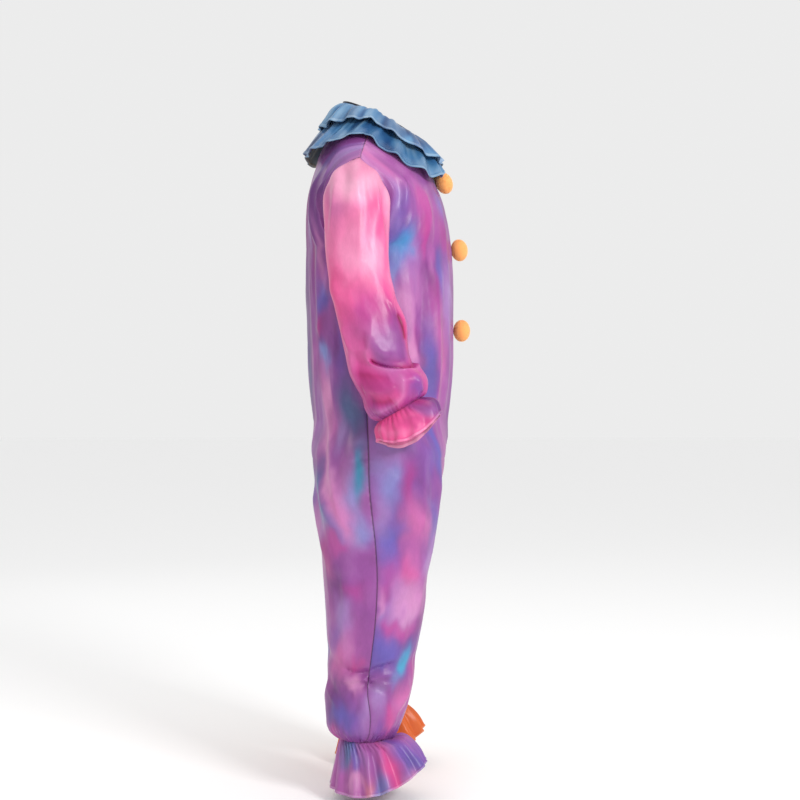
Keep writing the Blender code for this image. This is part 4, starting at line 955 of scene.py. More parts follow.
def pleat_rise(turns, away, pleats, seed):
    """Fine uneven pleats beside an elastic. Away is metres from it, and turns go once round."""
    wander = PLEAT_WANDER[0] * round_cloud(turns, away / PLEAT_WANDER[1], seed, pleats // 4)
    uneven = 1 + PLEAT_UNEVEN[0] * round_cloud(turns, away / PLEAT_UNEVEN[1], seed + 1, pleats // 2)
    opening = ease(1 - away / PLEAT_REACH) * fade_in(away, PLEAT_FADE)
    return PLEAT_RISE * pleated(turns, pleats, wander) * uneven * opening


def body_levels():
    """The rows of a panel from the shoulder to the ankle, each with what gives its points."""
    levels = [(chest_row, share) for share in np.linspace(0, 1, CHEST_ROWS, endpoint=False)]
    torso = np.linspace(TORSO["height"][0], FORK_TOP, TORSO_ROWS, endpoint=False)
    levels += [(torso_row, height) for height in torso]
    levels += [(fork_row, turn) for turn in np.linspace(0, math.pi / 2, FORK_ROWS, endpoint=False)]
    levels += [(leg_row, height) for height in np.linspace(CROTCH, ANKLE, LEG_ROWS + 1)]
    return levels


def panel_creases(grid, around, turns, half, seed):
    """How far a panel's creases, drape and ankle pleats push it out, fading towards its seams."""
    height = grid[..., 2]
    rise = crease_rise(BODY_CREASES, half, around, height, BODY_ROUND)
    rise += drape_rise(around, height, BODY_ROUND, seed)
    rise += pleat_rise(turns % 1, np.maximum(height - ANKLE, 0), LEG_PLEATS, seed + 3)
    rise *= fade_in(reach_from(grid, 0, False), CENTRE_FADE)
    return rise * fade_in(reach_from(grid, 0, True), SIDE_FADE)


def panel_grid(side, half):
    """The outer points of a front or back panel on the wearer's right, and how shaded each is."""
    across = np.linspace(0, 1, PANEL_COLUMNS + 1)
    across = np.insert(across, (1, PANEL_COLUMNS), (EDGE_COLUMN, 1 - EDGE_COLUMN))
    grid = np.stack([row(across, side, place) for row, place in body_levels()], axis=1)
    normals = grid_normals(grid, -side)
    column = across[:, None]
    height = grid[..., 2]
    around = (column if side == FRONT else 2 - column) + 0 * height
    seed = seed_of(side, half)
    turns = column / 2 * side + 0 * height
    rise = fold_rise(BODY_FOLDS, half, around, height, BODY_ROUND)
    rise *= ease(column / CENTRE_PLAIN)
    rise += panel_creases(grid, around, turns, half, seed)
    chest = slice(0, CHEST_ROWS)
    below = ARMHOLE_TOP - height[:, chest]
    shoulder = SHOULDER_PLAIN[1] - SHOULDER_PLAIN[0]
    opening = ease((below - SHOULDER_PLAIN[0]) / shoulder)
    rise[:, chest] *= SHOULDER_LEAST + (1 - SHOULDER_LEAST) * opening
    gathered = ease((ANKLE + GATHER_REACH - height) / GATHER_REACH)
    gathered[:, -1] = 0
    rise += GATHER_SWING * gathered * np.cos(TURN * LEG_GATHERS * turns)
    shade = np.zeros_like(height)
    for axis, end in ((0, False), (0, True), (1, False)):
        reach = reach_from(grid, axis, end)
        rise += seam_rise(reach, height if axis == 0 else grid[..., 0], seed + 5)
        shade += bell(reach, SEAM_SHADE_WIDTH)
    rise -= ELASTIC_SINK * bell(height - ANKLE, ELASTIC_WIDTH)
    made = grid + normals * rise[..., None]
    middle = np.abs(grid[0, :, 0]) < MIDDLE_EDGE
    made[0, middle, 0] = grid[0, middle, 0]
    return made, around, np.minimum(shade, 1)


def half_panels(half):
    """The points, normals, places round and shade of the front and back panels of one half."""
    panels = []
    for side in (FRONT, BACK):
        grid, around, shade = panel_grid(side, half)
        panels.append((grid, grid_normals(grid, -side), around, shade))
    (front, front_normals), (back, back_normals) = (panel[:2] for panel in panels)
    fork_end = CHEST_ROWS + TORSO_ROWS + FORK_ROWS
    share_normals(front_normals[:, 0], back_normals[:, 0])
    share_normals(front_normals[-1, CHEST_ROWS:], back_normals[-1, CHEST_ROWS:])
    share_normals(front_normals[0, fork_end:], back_normals[0, fork_end:])
    for order, (grid, normals, _, _) in enumerate(panels):
        middle = np.abs(grid[0, :, 0]) < MIDDLE_EDGE
        normals[0, middle, 0] = 0
        normals[0] = unit(normals[0])
        edges = [(grid[-1], grid[-2], normals[-1]), (grid[:, 0], grid[:, 1], normals[:, 0]),
                 (grid[:, -1], grid[:, -2], normals[:, -1])]
        if order:  # only the back is open down its middle
            edges.append((grid[0], grid[1], normals[0]))
        for line, beside, line_normals in edges:
            pull_edge(line, beside.copy(), line_normals)
    return panels


def sleeve_points(half):
    """The outer points of a sleeve on the wearer's right, its turns, and the painted shade at each point.
    """
    turns = np.arange(SLEEVE_COLUMNS) / SLEEVE_COLUMNS
    front, back = turns[turns < 0.5] * 2, turns[turns >= 0.5] * 2 - 1
    first = np.concatenate([armhole_point(FRONT, front), armhole_point(BACK, 1 - back)])
    rings = [first] + [sleeve_ring(place, turns) for place in range(1, len(SLEEVE["outer"]))]
    places = np.linspace(0, len(rings) - 1, SLEEVE_ROWS + 1)
    grid = through(np.stack(rings, axis=1), places)
    normals = grid_normals(grid, -1, closed=True)
    height = grid[..., 2]
    signed = ((turns - SLEEVE_FOLD_FROM) % 1 + SLEEVE_FOLD_FROM)[:, None] + 0 * height
    seed = seed_of("sleeve", half)
    rise = fold_rise(SLEEVE_FOLDS, half, signed, height, SLEEVE_ROUND)
    rise += crease_rise(SLEEVE_CREASES, half, signed, height, SLEEVE_ROUND)
    # Winding creases also give painted shade in their troughs and painted highlights on some crests.
    wound, dark = winding_rise(SLEEVE_WINDING, half, signed, height, SLEEVE_ROUND)
    rise += wound
    whole = turns[:, None] + 0 * height
    down = reach_from(grid, 1, False)
    drape = drape_rise(whole, height, SLEEVE_ROUND, seed, True)
    rise += SLEEVE_DRAPED * drape * fade_in(down, ARMHOLE_FADE)
    wave = np.cos(TURN * SLEEVE_GATHERS * turns)[:, None]
    cap = ease((np.cos(TURN * turns) + CAP_PLEAT_REACH) / (1 + CAP_PLEAT_REACH))[:, None]
    rise += CAP_PLEAT_RISE * wave * cap * np.interp(places, CAP_PLEAT_ROWS, (0, 1, 1, 0))
    gathered = np.interp(places, len(rings) - 1 - np.array(SLEEVE_GATHER_ROWS), (0, 1, 0))
    rise += GATHER_SWING * wave * gathered
    up = reach_from(grid, 1, True)
    rise += WRIST_PLEATED * pleat_rise(whole, up, WRIST_PLEATS, seed + 3)
    rise += seam_rise(down, whole * SLEEVE_ROUND, seed + 5)
    rise -= ELASTIC_SINK * bell(up, ELASTIC_WIDTH)
    grid = grid + normals * rise[..., None]
    grid[:, 0] += unit(grid[:, 1] - grid[:, 0]) * (SEAM_GAP + SATIN)
    return grid, signed, SEAM_SHADE * bell(down, SEAM_SHADE_WIDTH) + dark


def hemmed_places(length):
    """Shares of the way down a frill, close together over its hem, and which of them are hem."""
    hem = HEM_WIDTH / length
    places = [np.linspace(0, 1 - HEM_LEAD * hem, FRILL_ROWS), 1 - hem * np.array(HEM_ROWS["up"])]
    share = [np.zeros(FRILL_ROWS), np.array(HEM_ROWS["share"])]
    return np.concatenate(places), np.concatenate(share)


def swung(grid, down, swing, frill, closed, seed):
    """Swings a frill's points out and in, in uneven waves over fine pleats by its elastic."""
    waves = frill["waves"]
    around = np.linspace(0, 1, len(grid), endpoint=not closed)[:, None]
    uneven = np.ones_like(around)
    for share, times, first in zip(*WAVE_UNEVEN.values()):
        uneven += share * np.sin(TURN * times * around + first)
    drift = WAVE_DRIFT_SCENE * round_cloud(around, 3 * down[None], seed, waves // 2)
    phase = TURN * waves * around + drift
    uneven *= WAVE_SOFT[0] + WAVE_SOFT[1] * round_cloud(around, 0 * around, seed + 5, waves // 3)
    wave = np.cos(phase + WAVE_DRIFT * np.sin(TURN * DRIFT_TIMES * around)) * uneven
    sharp = np.cos(2 * phase + SHARP_START) * round_cloud(around, 0 * around, seed + 1, waves)
    wave += WAVE_SHARP * sharp
    wave += WAVE_BROAD * round_cloud(around, 2 * down[None], seed + 6, waves // 2)
    rise = swing * wave * down[None] ** SWING_GROWTH
    pleats = waves * FRILL_PLEATS
    wander = FRILL_PLEAT_WANDER * round_cloud(around, 2 * down[None], seed + 2, waves)
    fade = ease(1 - down / FRILL_PLEAT_END) * ease(down / FRILL_PLEAT_START)
    depth = 1 + FRILL_PLEAT_UNEVEN * round_cloud(around, 0 * around, seed + 3, pleats // 2)
    rise = rise + frill["pleats"] * pleated(around, pleats, wander) * depth * fade[None]
    normals = grid_normals(grid, 1, closed)
    return grid + normals * rise[..., None]


def limb_frill_points(frill, start, seed):
    """The outer points of a frill below the elastic's ring on the wearer's right, and its hem."""
    count = frill["waves"] * LIMB_WAVE_POINTS
    turns = np.arange(count) / count
    first = start(turns)
    away = np.cross(first[0] - first[count // 2], first[count // 4] - first[0])
    away *= -math.copysign(SEAM_GAP, away[2]) / np.linalg.norm(away)
    rings = [first + away]
    table = frill["table"]
    rings += [limb_ring(table_row(table, place), turns) for place in range(len(table["outer"]))]
    down, hem = hemmed_places(frill["length"])
    grid = through(np.stack(rings, axis=1), down * (len(rings) - 1))
    grid = swung(grid, down, frill["swing"], frill, True, seed)
    inward = unit(grid[:, 0].mean(axis=0) - grid[:, 0])
    grid[:, 0] += inward * TUCK_IN - unit(away) * TUCK_UP
    return grid, turns, hem


def collar_points(frill, seed):
    """The outer points of a collar tier round the neck, from one side of the slit to the other."""
    table = frill["table"]
    count = frill["waves"] * COLLAR_WAVE_POINTS
    start = 0.75 + BACK_OPENING / TURN
    turns = start + np.linspace(0, 1, count + 1) * (1 - BACK_OPENING / math.pi)
    forward = np.sin(TURN * turns)
    low = SAG_PEAK * np.abs(forward * np.cos(TURN * turns))
    low *= np.where(forward > 0, 1, SAG_BEHIND)
    rings = []
    last = len(table["side"]) - 1
    for place in range(last + 1):
        cut = table_row(table, place)
        outer = np.array([-cut["side"], cut["side_place"], cut["side_height"]])
        front = np.array([0, cut["front"], cut["front_height"]])
        back = np.array([0, cut["back"], cut["back_height"]])
        points = ring(outer, outer * (-1, 1, 1), front, back, turns)
        points[:, 2] -= frill["sag"] * low * place / last
        points[:, :2] *= 1 + (frill["spread"] * low * place / last)[:, None]
        rings.append(points)
    down, hem = hemmed_places(frill["length"])
    grid = through(np.stack(rings, axis=1), down * last)
    swings = frill["swing"] * (COLLAR_CALM + (1 - COLLAR_CALM) * forward[:, None] ** 2)
    return swung(grid, down, swings, frill, False, seed), turns, hem


def binding_points():
    """The outer points of the binding round the neck, and how thick it is, down its rounded form."""
    start = math.pi + BACK_OPENING
    angle = start + np.linspace(0, TURN - 2 * BACK_OPENING, BINDING_COLUMNS + 1)
    edge = np.cos(np.linspace(math.pi, 0, BINDING_ROWS + 1))
    drops = (BINDING_LOW - BINDING_TOP) / 2 + edge * (BINDING_LOW + BINDING_TOP) / 2
    thick = BINDING_THICK * np.sqrt(np.maximum(1 - edge ** 2, BINDING_EDGE))
    ripple = cloud(angle / TURN * BINDING_RIPPLES, 0 * angle, SEEDS["binding"], BINDING_RIPPLES)
    ripple *= BINDING_RIPPLE
    outs = BINDING_THICK / 2 + thick / 2
    rows = [neck_point(angle, out + ripple, drop) for out, drop in zip(outs, drops)]
    return np.stack(rows, axis=1), angle / TURN, thick


def rgb(name):
    """A dye's colour, in sRGB from 0 to 1."""
    return np.array(DYES[name]) / 255


def linear(colour):
    """An sRGB colour as linear light."""
    colour = np.clip(colour, 0, 1)
    return np.where(colour <= 0.04045, colour / 12.92, ((colour + 0.055) / 1.055) ** 2.4)


def strewn_patches(names, kind, seed):
    """Faint patches of the named dyes strewn over a piece, as dyed() takes them."""
    dice = np.random.default_rng(seed)
    count, across, heights, strength = STREWN_OVER[kind]
    patches = []
    for place in range(count):
        size = dice.uniform(*STREWN_SIZE)
        patches.append((dice.uniform(*across), dice.uniform(*heights), size,
                        size * dice.uniform(*STREWN_TALL), dice.uniform(-STREWN_TILT, STREWN_TILT),
                        names[place % len(names)], strength))
    return tuple(patches)


def dye_clouds(x, y, tall, seed, apart=1):
    """The clouds of a dye at each point. Each size of cloud has a seed of its own, so far apart."""
    return sum(share * cloud(x / wide, y / wide / tall, seed + apart * step)
               for step, (wide, share) in enumerate(DYE_CLOUDS))


def dyed(base, patches, around, height, metres_round, seed, closed=False):
    """The colour of dyed cloth at each point: patches with wandering feathered edges, laid in turn."""
    x, y = around * metres_round, height
    across, up = (dye_clouds(x, y, CLOUD_TALL, seed + place, 9) for place in (0, 1))
    x = x + DYE_WANDER * across
    y = y + DYE_WANDER * WANDER_UP * up
    colour = np.broadcast_to(rgb(base), height.shape + (3,)).copy()
    for place_round, place_height, width, tall, tilt, name, strength in patches:
        across = x - place_round * metres_round
        if closed:
            across = (across + metres_round / 2) % metres_round - metres_round / 2
        up = y - place_height
        turn = math.radians(tilt)
        long = (up * math.cos(turn) - across * math.sin(turn)) / tall
        short = (across * math.cos(turn) + up * math.sin(turn)) / width
        weight = strength * np.exp(-(long ** 2 + short ** 2) ** DYE_FEATHER * DYE_SPREAD)
        colour += (rgb(name) - colour) * weight[..., None]
    haze = np.clip(dye_clouds(x, y, HAZE_TALL, seed + 40), -1, 1)[..., None]
    colour += np.where(haze > 0, (1 - colour) * DYE_HAZE, colour * DYE_DEPTH) * haze
    mottle = sum(cloud(x / wide, y / tall, seed + 4 + step)
                 for step, (wide, tall) in enumerate(MOTTLES))
    return np.clip(colour * (1 + DYE_MOTTLE * mottle[..., None]), 0, 1)


def shaded(colours, shade):
    """Colours deepened by painted shade, a share from 0 to 1, and paled by painted highlight below 0."""
    shade = np.clip(shade, -1, 1)[..., None]
    return np.where(shade > 0, colours ** (1 + SHADE_DEEPENS * shade), colours + (colours - 1) * shade)


def wrong_side(colour):
    """The paler colour of the cloth's dull inner side."""
    grey = colour.mean(axis=-1, keepdims=True)
    pale = WRONG_SIDE_OWN * grey + (1 - WRONG_SIDE_OWN) * WRONG_SIDE_LIGHT
    return colour + (pale - colour) * WRONG_SIDE_PALE


def strip_faces(columns, rows, closed):
    """The faces of a grid whose point at column c and row r has the number c * rows + r."""
    here = np.arange(columns if closed else columns - 1)[:, None] * rows + np.arange(rows - 1)
    there = (np.arange(columns if closed else columns - 1)[:, None] + 1) % columns * rows
    there = there + np.arange(rows - 1)
    return np.stack([here, there, there + 1, here + 1], axis=-1).reshape(-1, 4)


def edge_faces(columns, rows, closed):
    """The narrow faces that join the outer and inner points of a cloth along its edges."""
    inner = columns * rows
    spans = np.arange(columns if closed else columns - 1)
    faces = []
    for row in (0, rows - 1):
        here, there = spans * rows + row, (spans + 1) % columns * rows + row
        faces.append(np.stack([here, there, there + inner, here + inner], axis=-1))
    if not closed:
        for column in (0, columns - 1):
            here = column * rows + np.arange(rows - 1)
            faces.append(np.stack([here, here + 1, here + 1 + inner, here + inner], axis=-1))
    return np.concatenate(faces)


def mesh_object(name, points, faces, colours, materials, half=RIGHT):
    """Makes a piece from points on the wearer's right, mirrored where its half is LEFT."""
    points = points * (-half, 1, 1) - (0, 0, NECK_HEIGHT)
    mesh = bpy.data.meshes.new(name)
    mesh.from_pydata(points.tolist(), [], faces.tolist())
    for material in materials:
        mesh.materials.append(material)
    dye = mesh.attributes.new("dye", "FLOAT_COLOR", "POINT")
    dye.data.foreach_set("color", np.column_stack([linear(colours), np.ones(len(colours))]).ravel())
    piece = bpy.data.objects.new(name, mesh)
    bpy.context.scene.collection.objects.link(piece)
    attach(piece, "root")
    return piece


def add_cloth(node, outer, normals, thick, colours, material, half=RIGHT, closed=False):
    """Adds a shell of cloth in a node's place, with its dull wrong side within."""
    columns, rows = outer.shape[:2]
    thick = np.broadcast_to(thick, (columns, rows))[..., None]
    top = outer + normals * (thick - SATIN) / 2
    points = np.concatenate([top.reshape(-1, 3), (top - normals * thick).reshape(-1, 3)])
    faces = strip_faces(columns, rows, closed)
    everything = np.concatenate([faces, faces[:, ::-1] + columns * rows,
                                 edge_faces(columns, rows, closed)])
    flat = colours.reshape(-1, 3)
    paint = np.concatenate([flat, wrong_side(flat)])
    materials = (MATERIALS[material], MATERIALS["wrong_side"])
    piece = mesh_object(f"{node}_cloth", points, everything, paint, materials, half)
    mesh = piece.data
    slots = np.zeros(len(everything), np.int32)
    slots[len(faces):2 * len(faces)] = 1
    mesh.polygons.foreach_set("material_index", slots)
    tidy = bmesh.new()
    tidy.from_mesh(mesh)
    bmesh.ops.recalc_face_normals(tidy, faces=tidy.faces)
    tidy.to_mesh(mesh)
    tidy.free()
    mesh.shade_smooth()
    mesh.set_sharp_from_angle(angle=EDGE_ANGLE)
    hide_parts(node)
    return piece


def bump_from(nodes, links, height, distance, strength, before=None):
    """Adds a bump from a height on top of the bump before it."""
    bump = nodes.new("ShaderNodeBump")
    bump.inputs["Distance"].default_value = distance
    bump.inputs["Strength"].default_value = strength
    links.new(height, bump.inputs["Height"])
    if before:
        links.new(before, bump.inputs["Normal"])
    return bump.outputs["Normal"]


def noise_from(nodes, links, scale, stretch, detail):
    """Adds noise in the object's own space, stretched along an axis where its share is below 1."""
    place = nodes.new("ShaderNodeTexCoord")
    mapping = nodes.new("ShaderNodeMapping")
    mapping.inputs["Scale"].default_value = stretch
    noise = nodes.new("ShaderNodeTexNoise")
    noise.inputs["Scale"].default_value = scale
    noise.inputs["Detail"].default_value = detail
    links.new(place.outputs["Object"], mapping.inputs["Vector"])
    links.new(mapping.outputs["Vector"], noise.inputs["Vector"])
    return noise.outputs["Fac"]


def ranged(nodes, links, value, low, high):
    """Maps a share from 0 to 1 onto a range."""
    spread = nodes.new("ShaderNodeMapRange")
    spread.inputs["To Min"].default_value = low
    spread.inputs["To Max"].default_value = high
    links.new(value, spread.inputs["Value"])
    return spread.outputs["Result"]


def painted_material(name, values):
    """A material with these shader values, its parts, and a node that reads the painted dye."""
    material = bpy.data.materials.new(name)
    material.use_nodes = True
    nodes, links = material.node_tree.nodes, material.node_tree.links
    shader = nodes["Principled BSDF"]
    for socket, value in values.items():
        shader.inputs[socket].default_value = value
    dye = nodes.new("ShaderNodeAttribute")
    dye.attribute_name = "dye"
    return material, nodes, links, shader, dye


def cloth_material(name, roughness, sheen, anisotropy, crinkle):
    """A dyed cloth: its colour is painted on the points, its threads and crinkles are bumps."""
    values = {"Specular IOR Level": SHINE, "Sheen Weight": sheen, "Sheen Roughness": 0.4,
              "Anisotropic": anisotropy}
    material, nodes, links, shader, dye = painted_material(name, values)
    fleck = ranged(nodes, links, noise_from(nodes, links, *FLECKS), *DYE_SHOWN)
    tinted = nodes.new("ShaderNodeVectorMath")
    tinted.operation = "SCALE"
    links.new(dye.outputs["Color"], tinted.inputs[0])
    links.new(fleck, tinted.inputs["Scale"])
    links.new(tinted.outputs["Vector"], shader.inputs["Base Color"])
    worn = noise_from(nodes, links, *WEAR)
    links.new(ranged(nodes, links, worn, roughness - WORN, roughness + WORN), shader.inputs["Roughness"])
    weave = noise_from(nodes, links, *WEAVE)
    normal = bump_from(nodes, links, weave, WEAVE_DEPTH, WEAVE_BUMP)
    crinkles = noise_from(nodes, links, *CRINKLES)
    normal = bump_from(nodes, links, crinkles, crinkle, CRINKLE_BUMP, normal)
    links.new(normal, shader.inputs["Normal"])
    return material


def pile_material():
    """The matt pile of the pompoms, which is painted paler at its tips."""
    values = {"Roughness": 0.85, "Sheen Weight": 0.5, "Sheen Roughness": 0.5}
    material, _, links, shader, dye = painted_material("pompom_pile", values)
    links.new(dye.outputs["Color"], shader.inputs["Base Color"])
    return material


MATERIALS = {name: cloth_material(name, *looks) for name, looks in CLOTHS.items()}
MATERIALS["pile"] = pile_material()


def stitches(name, line, normals, colour, half=RIGHT, closed=False):
    """Adds a row of machine stitches along a line of points that lie on the cloth."""
    if closed:
        line, normals = np.concatenate([line, line[:1]]), np.concatenate([normals, normals[:1]])
    steps = np.linalg.norm(np.diff(line, axis=0), axis=1)
    run = np.concatenate([[0], np.cumsum(steps)])
    count = int(run[-1] / STITCH_STEP)
    middle = (np.arange(count) + 0.5) * run[-1] / count
    ends = [middle - STITCH_LENGTH / 2, middle, middle + STITCH_LENGTH / 2]
    start, centre, end = (np.stack([np.interp(place, run, line[:, axis]) for axis in range(3)], axis=-1)
                          for place in ends)
    out = unit(np.stack([np.interp(middle, run, normals[:, axis]) for axis in range(3)], axis=-1))
    side = unit(np.cross(end - start, out)) * STITCH_RADIUS
    out = out * STITCH_RADIUS
    corners = [start, centre + side + out * STITCH_SIDE, centre + out * STITCH_TOP,
               centre - side + out * STITCH_SIDE, centre - out * STITCH_UNDER, end]
    points = np.stack(corners, axis=1).reshape(-1, 3)
    shape = np.array([(0, 1, 2), (0, 2, 3), (0, 3, 4), (0, 4, 1),
                      (5, 2, 1), (5, 3, 2), (5, 4, 3), (5, 1, 4)])
    faces = (np.arange(count)[:, None, None] * len(corners) + shape).reshape(-1, 3)
    paint = np.broadcast_to(rgb(colour), points.shape)
    return mesh_object(name, points, faces, paint, (MATERIALS["thread"],), half)


def add_panels(half, name, patches, base, slot):
    """Adds the front and back panels of one half, and the stitches of their shoulder seam."""
    strewn = strewn_patches(STREWN[f"body_{name}"], "body", SEEDS["strewn"] + half)
    for side, label, panel in zip((FRONT, BACK), ("front", "back"), half_panels(half)):
        grid, normals, around, shade = panel
        own = [row for row in strewn + patches if (row[0] <= 1) == (side == FRONT)]  # by its round
        colours = dyed(base, own, around, grid[..., 2], BODY_ROUND, SEEDS["dye"] + side)
        colours *= (1 - SEAM_SHADE * shade)[..., None]
        node = f"{label}_{name}"
        piece = add_cloth(node, grid, normals, SATIN, colours, "satin", half)
        line = (slice(*SHOULDER_STITCHED), SHOULDER_ROW)
        sewn = stitches(f"{node}_shoulder_stitches", grid[line], normals[line], THREADS[name], half)


def add_sleeve(half, name, patches, base, slot):
    """Adds a sleeve."""
    grid, signed, shade = sleeve_points(half)
    normals = grid_normals(grid, -1, closed=True)
    strewn = strewn_patches(STREWN[f"sleeve_{name}"], "sleeve", SEEDS["strewn"] + 5 + half)
    colours = dyed(base, strewn + patches, signed, grid[..., 2], SLEEVE_ROUND, SEEDS["dye"] + 5, True)
    # Painted shade at the armhole seam and in the creases, and painted highlights on some crests.
    colours = shaded(colours, shade)
    node = f"sleeve_{name}"
    piece = add_cloth(node, grid, normals, SATIN, colours, "satin", half, True)


def add_hemmed(node, grid, normals, hem, colours, looks, half=RIGHT, closed=False):
    """Adds a frill with its rolled hem, which has a painted highlight that makes it a little paler, and
    the hem's stitches.
    """
    material, thread = looks
    # The hem is painted paler: a painted highlight along its rolled edge.
    colours += (1 - colours) * (HEM_HIGHLIGHT * hem)[None, :, None]
    thick = SATIN + (HEM - SATIN) * hem[None, :]
    piece = add_cloth(node, grid, normals, thick, colours, material, half, closed)
    row = FRILL_ROWS - 1
    line = grid[:, row] + normals[:, row] * SATIN / 4
    sewn = stitches(f"{node}_hem_stitches", line, normals[:, row], thread, half, closed)


def add_limb_frill(label, name, half, start, patches, base, slot):
    """Adds the frill below a wrist's or an ankle's elastic."""
    frill = FRILLS[label]
    seed = seed_of(label, half)
    grid, turns, hem = limb_frill_points(frill, start, seed)
    normals = grid_normals(grid, -1, closed=True)
    around = ((turns + 0.5) % 1 - 0.5)[:, None] + 0 * grid[..., 2]
    colours = dyed(base, patches, around, grid[..., 2], frill["round"], seed, True)
    colours *= (1 - SEAM_SHADE * bell(reach_from(grid, 1, False), SEAM_SHADE_WIDTH))[..., None]
    looks = ("satin", THREADS[name])
    add_hemmed(f"{label}_{name}", grid, normals, hem, colours, looks, half, True)


def add_collar():
    """Adds the two tiers of the collar, and the binding."""
    for node in ("collar_upper_frill", "collar_lower_frill"):
        frill, seed = FRILLS[node], SEEDS[node]
        grid, turns, hem = collar_points(frill, seed)
        normals = grid_normals(grid, -1)
        down = reach_from(grid, 1, False)
        around = turns[:, None] + 0 * down
        strewn = strewn_patches(STREWN["collar"], "collar", seed)
        colours = dyed("collar", strewn, around, down, frill["round"], seed)
        # Streaks down the collar: partly the tone of its dye, partly painted highlight and painted shade
        # along its folds.
        wide, long = COLLAR_STREAKS
        metres = around * frill["round"]
        streak = cloud(metres / wide, down / long + STREAK_START, seed + 9)
        streak += STREAK_FINE * cloud(metres * 2 / wide, down * 2 / long, seed + 10)
        colours = shaded(colours, COLLAR_STREAK_SHADING * streak)
        looks = ("collar_satin", "thread_blue")
        add_hemmed(node, grid, normals, hem, colours, looks)
    grid, turns, thick = binding_points()
    normals = grid_normals(grid, 1)
    height = grid[..., 2]
    colours = dyed("navy", (), turns[:, None] + 0 * height, height, BINDING_ROUND, SEEDS["binding"])
    piece = add_cloth("neck_binding", grid, normals, thick[None, :], colours, "binding")


def pile_ball(seed):
    """The points, faces and paint of a ball of dense pile, each strand a thin spike."""
    dice = np.random.default_rng(seed)
    place = np.arange(PILE_STRANDS) + 0.5
    up = 1 - 2 * place / PILE_STRANDS
    turn = place * math.pi * (3 - math.sqrt(5))
    level = np.sqrt(1 - up * up)
    out = np.stack([level * np.cos(turn), level * np.sin(turn), up], axis=-1)
    out = unit(out + dice.normal(0, PILE_TANGLE / 3, out.shape))
    side = unit(np.cross(out, dice.normal(0, 1, out.shape)))
    other = np.cross(out, side)
    bare = unit(out + dice.normal(0, PILE_TANGLE, out.shape))
    tips = bare * (POMPOM_RADIUS * dice.uniform(PILE_SHORT, 1.0, (len(out), 1)))
    roots = out * POMPOM_RADIUS * PILE_ROOT
    corners = [roots + PILE_WIDTH * (side * math.cos(angle) + other * math.sin(angle))
               for angle in (0, TURN / 3, 2 * TURN / 3)] + [tips]
    core = bmesh.new()
    bmesh.ops.create_icosphere(core, subdivisions=CORE_FINENESS, radius=POMPOM_RADIUS * PILE_CORE)
    heart = np.array([tuple(vertex.co) for vertex in core.verts])
    skin = np.array([[vertex.index for vertex in face.verts] for face in core.faces])
    core.free()
    points = np.concatenate([np.stack(corners, axis=1).reshape(-1, 3), heart])
    shape = np.array([(0, 1, 3), (1, 2, 3), (2, 0, 3)])
    faces = (np.arange(PILE_STRANDS)[:, None, None] * 4 + shape).reshape(-1, 3)
    faces = np.concatenate([faces, skin + PILE_STRANDS * 4])
    root, tip = rgb("pompom"), rgb("pompom_tip")
    shade = dice.uniform(*PILE_SHADES, (PILE_STRANDS, 1, 1))
    paint = (np.stack([root, root, root, tip])[None] * shade).reshape(-1, 3)
    return points, faces, np.concatenate([paint, np.broadcast_to(root, heart.shape)])


def add_pompom(name, height):
    """Adds a pompom, a slightly flat ball that leans back with the cloth it sits on."""
    points, faces, paint = pile_ball(SEEDS[name])
    points *= (1, POMPOM_PROUD / POMPOM_RADIUS, 1)
    table = TORSO if height < TORSO["height"][0] else CENTRE
    forward = read(table, "front", height)
    lean = math.atan2(forward - read(table, "front", height + POMPOM_RADIUS), POMPOM_RADIUS)
    away = POMPOM_PROUD + POMPOM_OFF
    cosine, sine = math.cos(lean), math.sin(lean)
    tilted = points @ np.array([(1, 0, 0), (0, cosine, -sine), (0, sine, cosine)])
    tilted += (0, -forward - away * cosine, height + away * sine)
    piece = mesh_object(f"{name}_pile", tilted, faces, paint, (MATERIALS["pile"],))
    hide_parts(name)


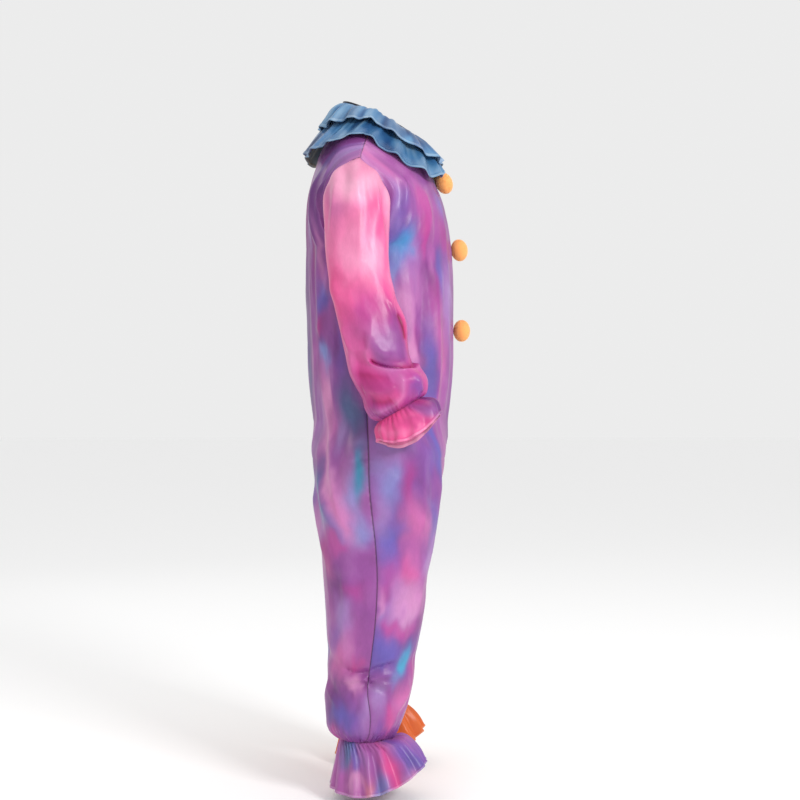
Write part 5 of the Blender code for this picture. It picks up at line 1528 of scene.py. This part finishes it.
def add_area_light(name, place, aim, size, power):
    """Adds a soft square white light that faces a point."""
    data = bpy.data.lights.new(name, "AREA")
    data.size, data.energy = size, power
    light = bpy.data.objects.new(name, data)
    light.location = place
    aim_along = np.array(aim) - np.array(place)
    light.rotation_euler = Vector(aim_along).to_track_quat("-Z", "Y").to_euler()
    bpy.context.scene.collection.objects.link(light)


def add_studio():
    """Adds the pale floor, the soft lights and the camera."""
    bpy.ops.mesh.primitive_plane_add(size=FLOOR_SIZE, location=(0, 0, -NECK_HEIGHT))
    floor = bpy.context.object
    floor.name = "studio_floor"
    material = bpy.data.materials.new("studio_floor")
    material.use_nodes = True
    shader = material.node_tree.nodes["Principled BSDF"]
    shader.inputs["Base Color"].default_value = (*[FLOOR_LIGHT] * 3, 1)
    shader.inputs["Roughness"].default_value = 0.9
    floor.data.materials.append(material)
    for row in zip(*LIGHTS.values()):
        add_area_light(*row)
    world = bpy.data.worlds.new("studio")
    world.use_nodes = True
    background = world.node_tree.nodes["Background"]
    background.inputs["Color"].default_value = (1, 1, 1, 1)
    background.inputs["Strength"].default_value = WORLD_STRENGTH
    bpy.context.scene.world = world
    camera = bpy.data.objects.new("camera", bpy.data.cameras.new("camera"))
    camera.data.lens = CAMERA_LENS
    camera.location = CAMERA_PLACE
    camera.rotation_euler = (math.pi / 2, 0, -math.pi / 2)
    bpy.context.scene.collection.objects.link(camera)
    bpy.context.scene.camera = camera
    bpy.context.scene.view_settings.view_transform = "Standard"


def build():
    """Dresses the whole frame."""
    for half, name in ((RIGHT, "right"), (LEFT, "left")):
        add_panels(half, name, *WORN_ON[half]["body"])
        add_sleeve(half, name, *WORN_ON[half]["sleeve"])
        add_limb_frill("cuff_frill", name, half, wrist_ring, *WORN_ON[half]["cuff"])
        add_limb_frill("ankle_frill", name, half, ankle_ring, *WORN_ON[half]["ankle"])
    add_collar()
    for name, height in zip(POMPOMS["name"], POMPOMS["height"]):
        add_pompom(name, height)
    add_studio()


build()
bpy.context.view_layer.update()
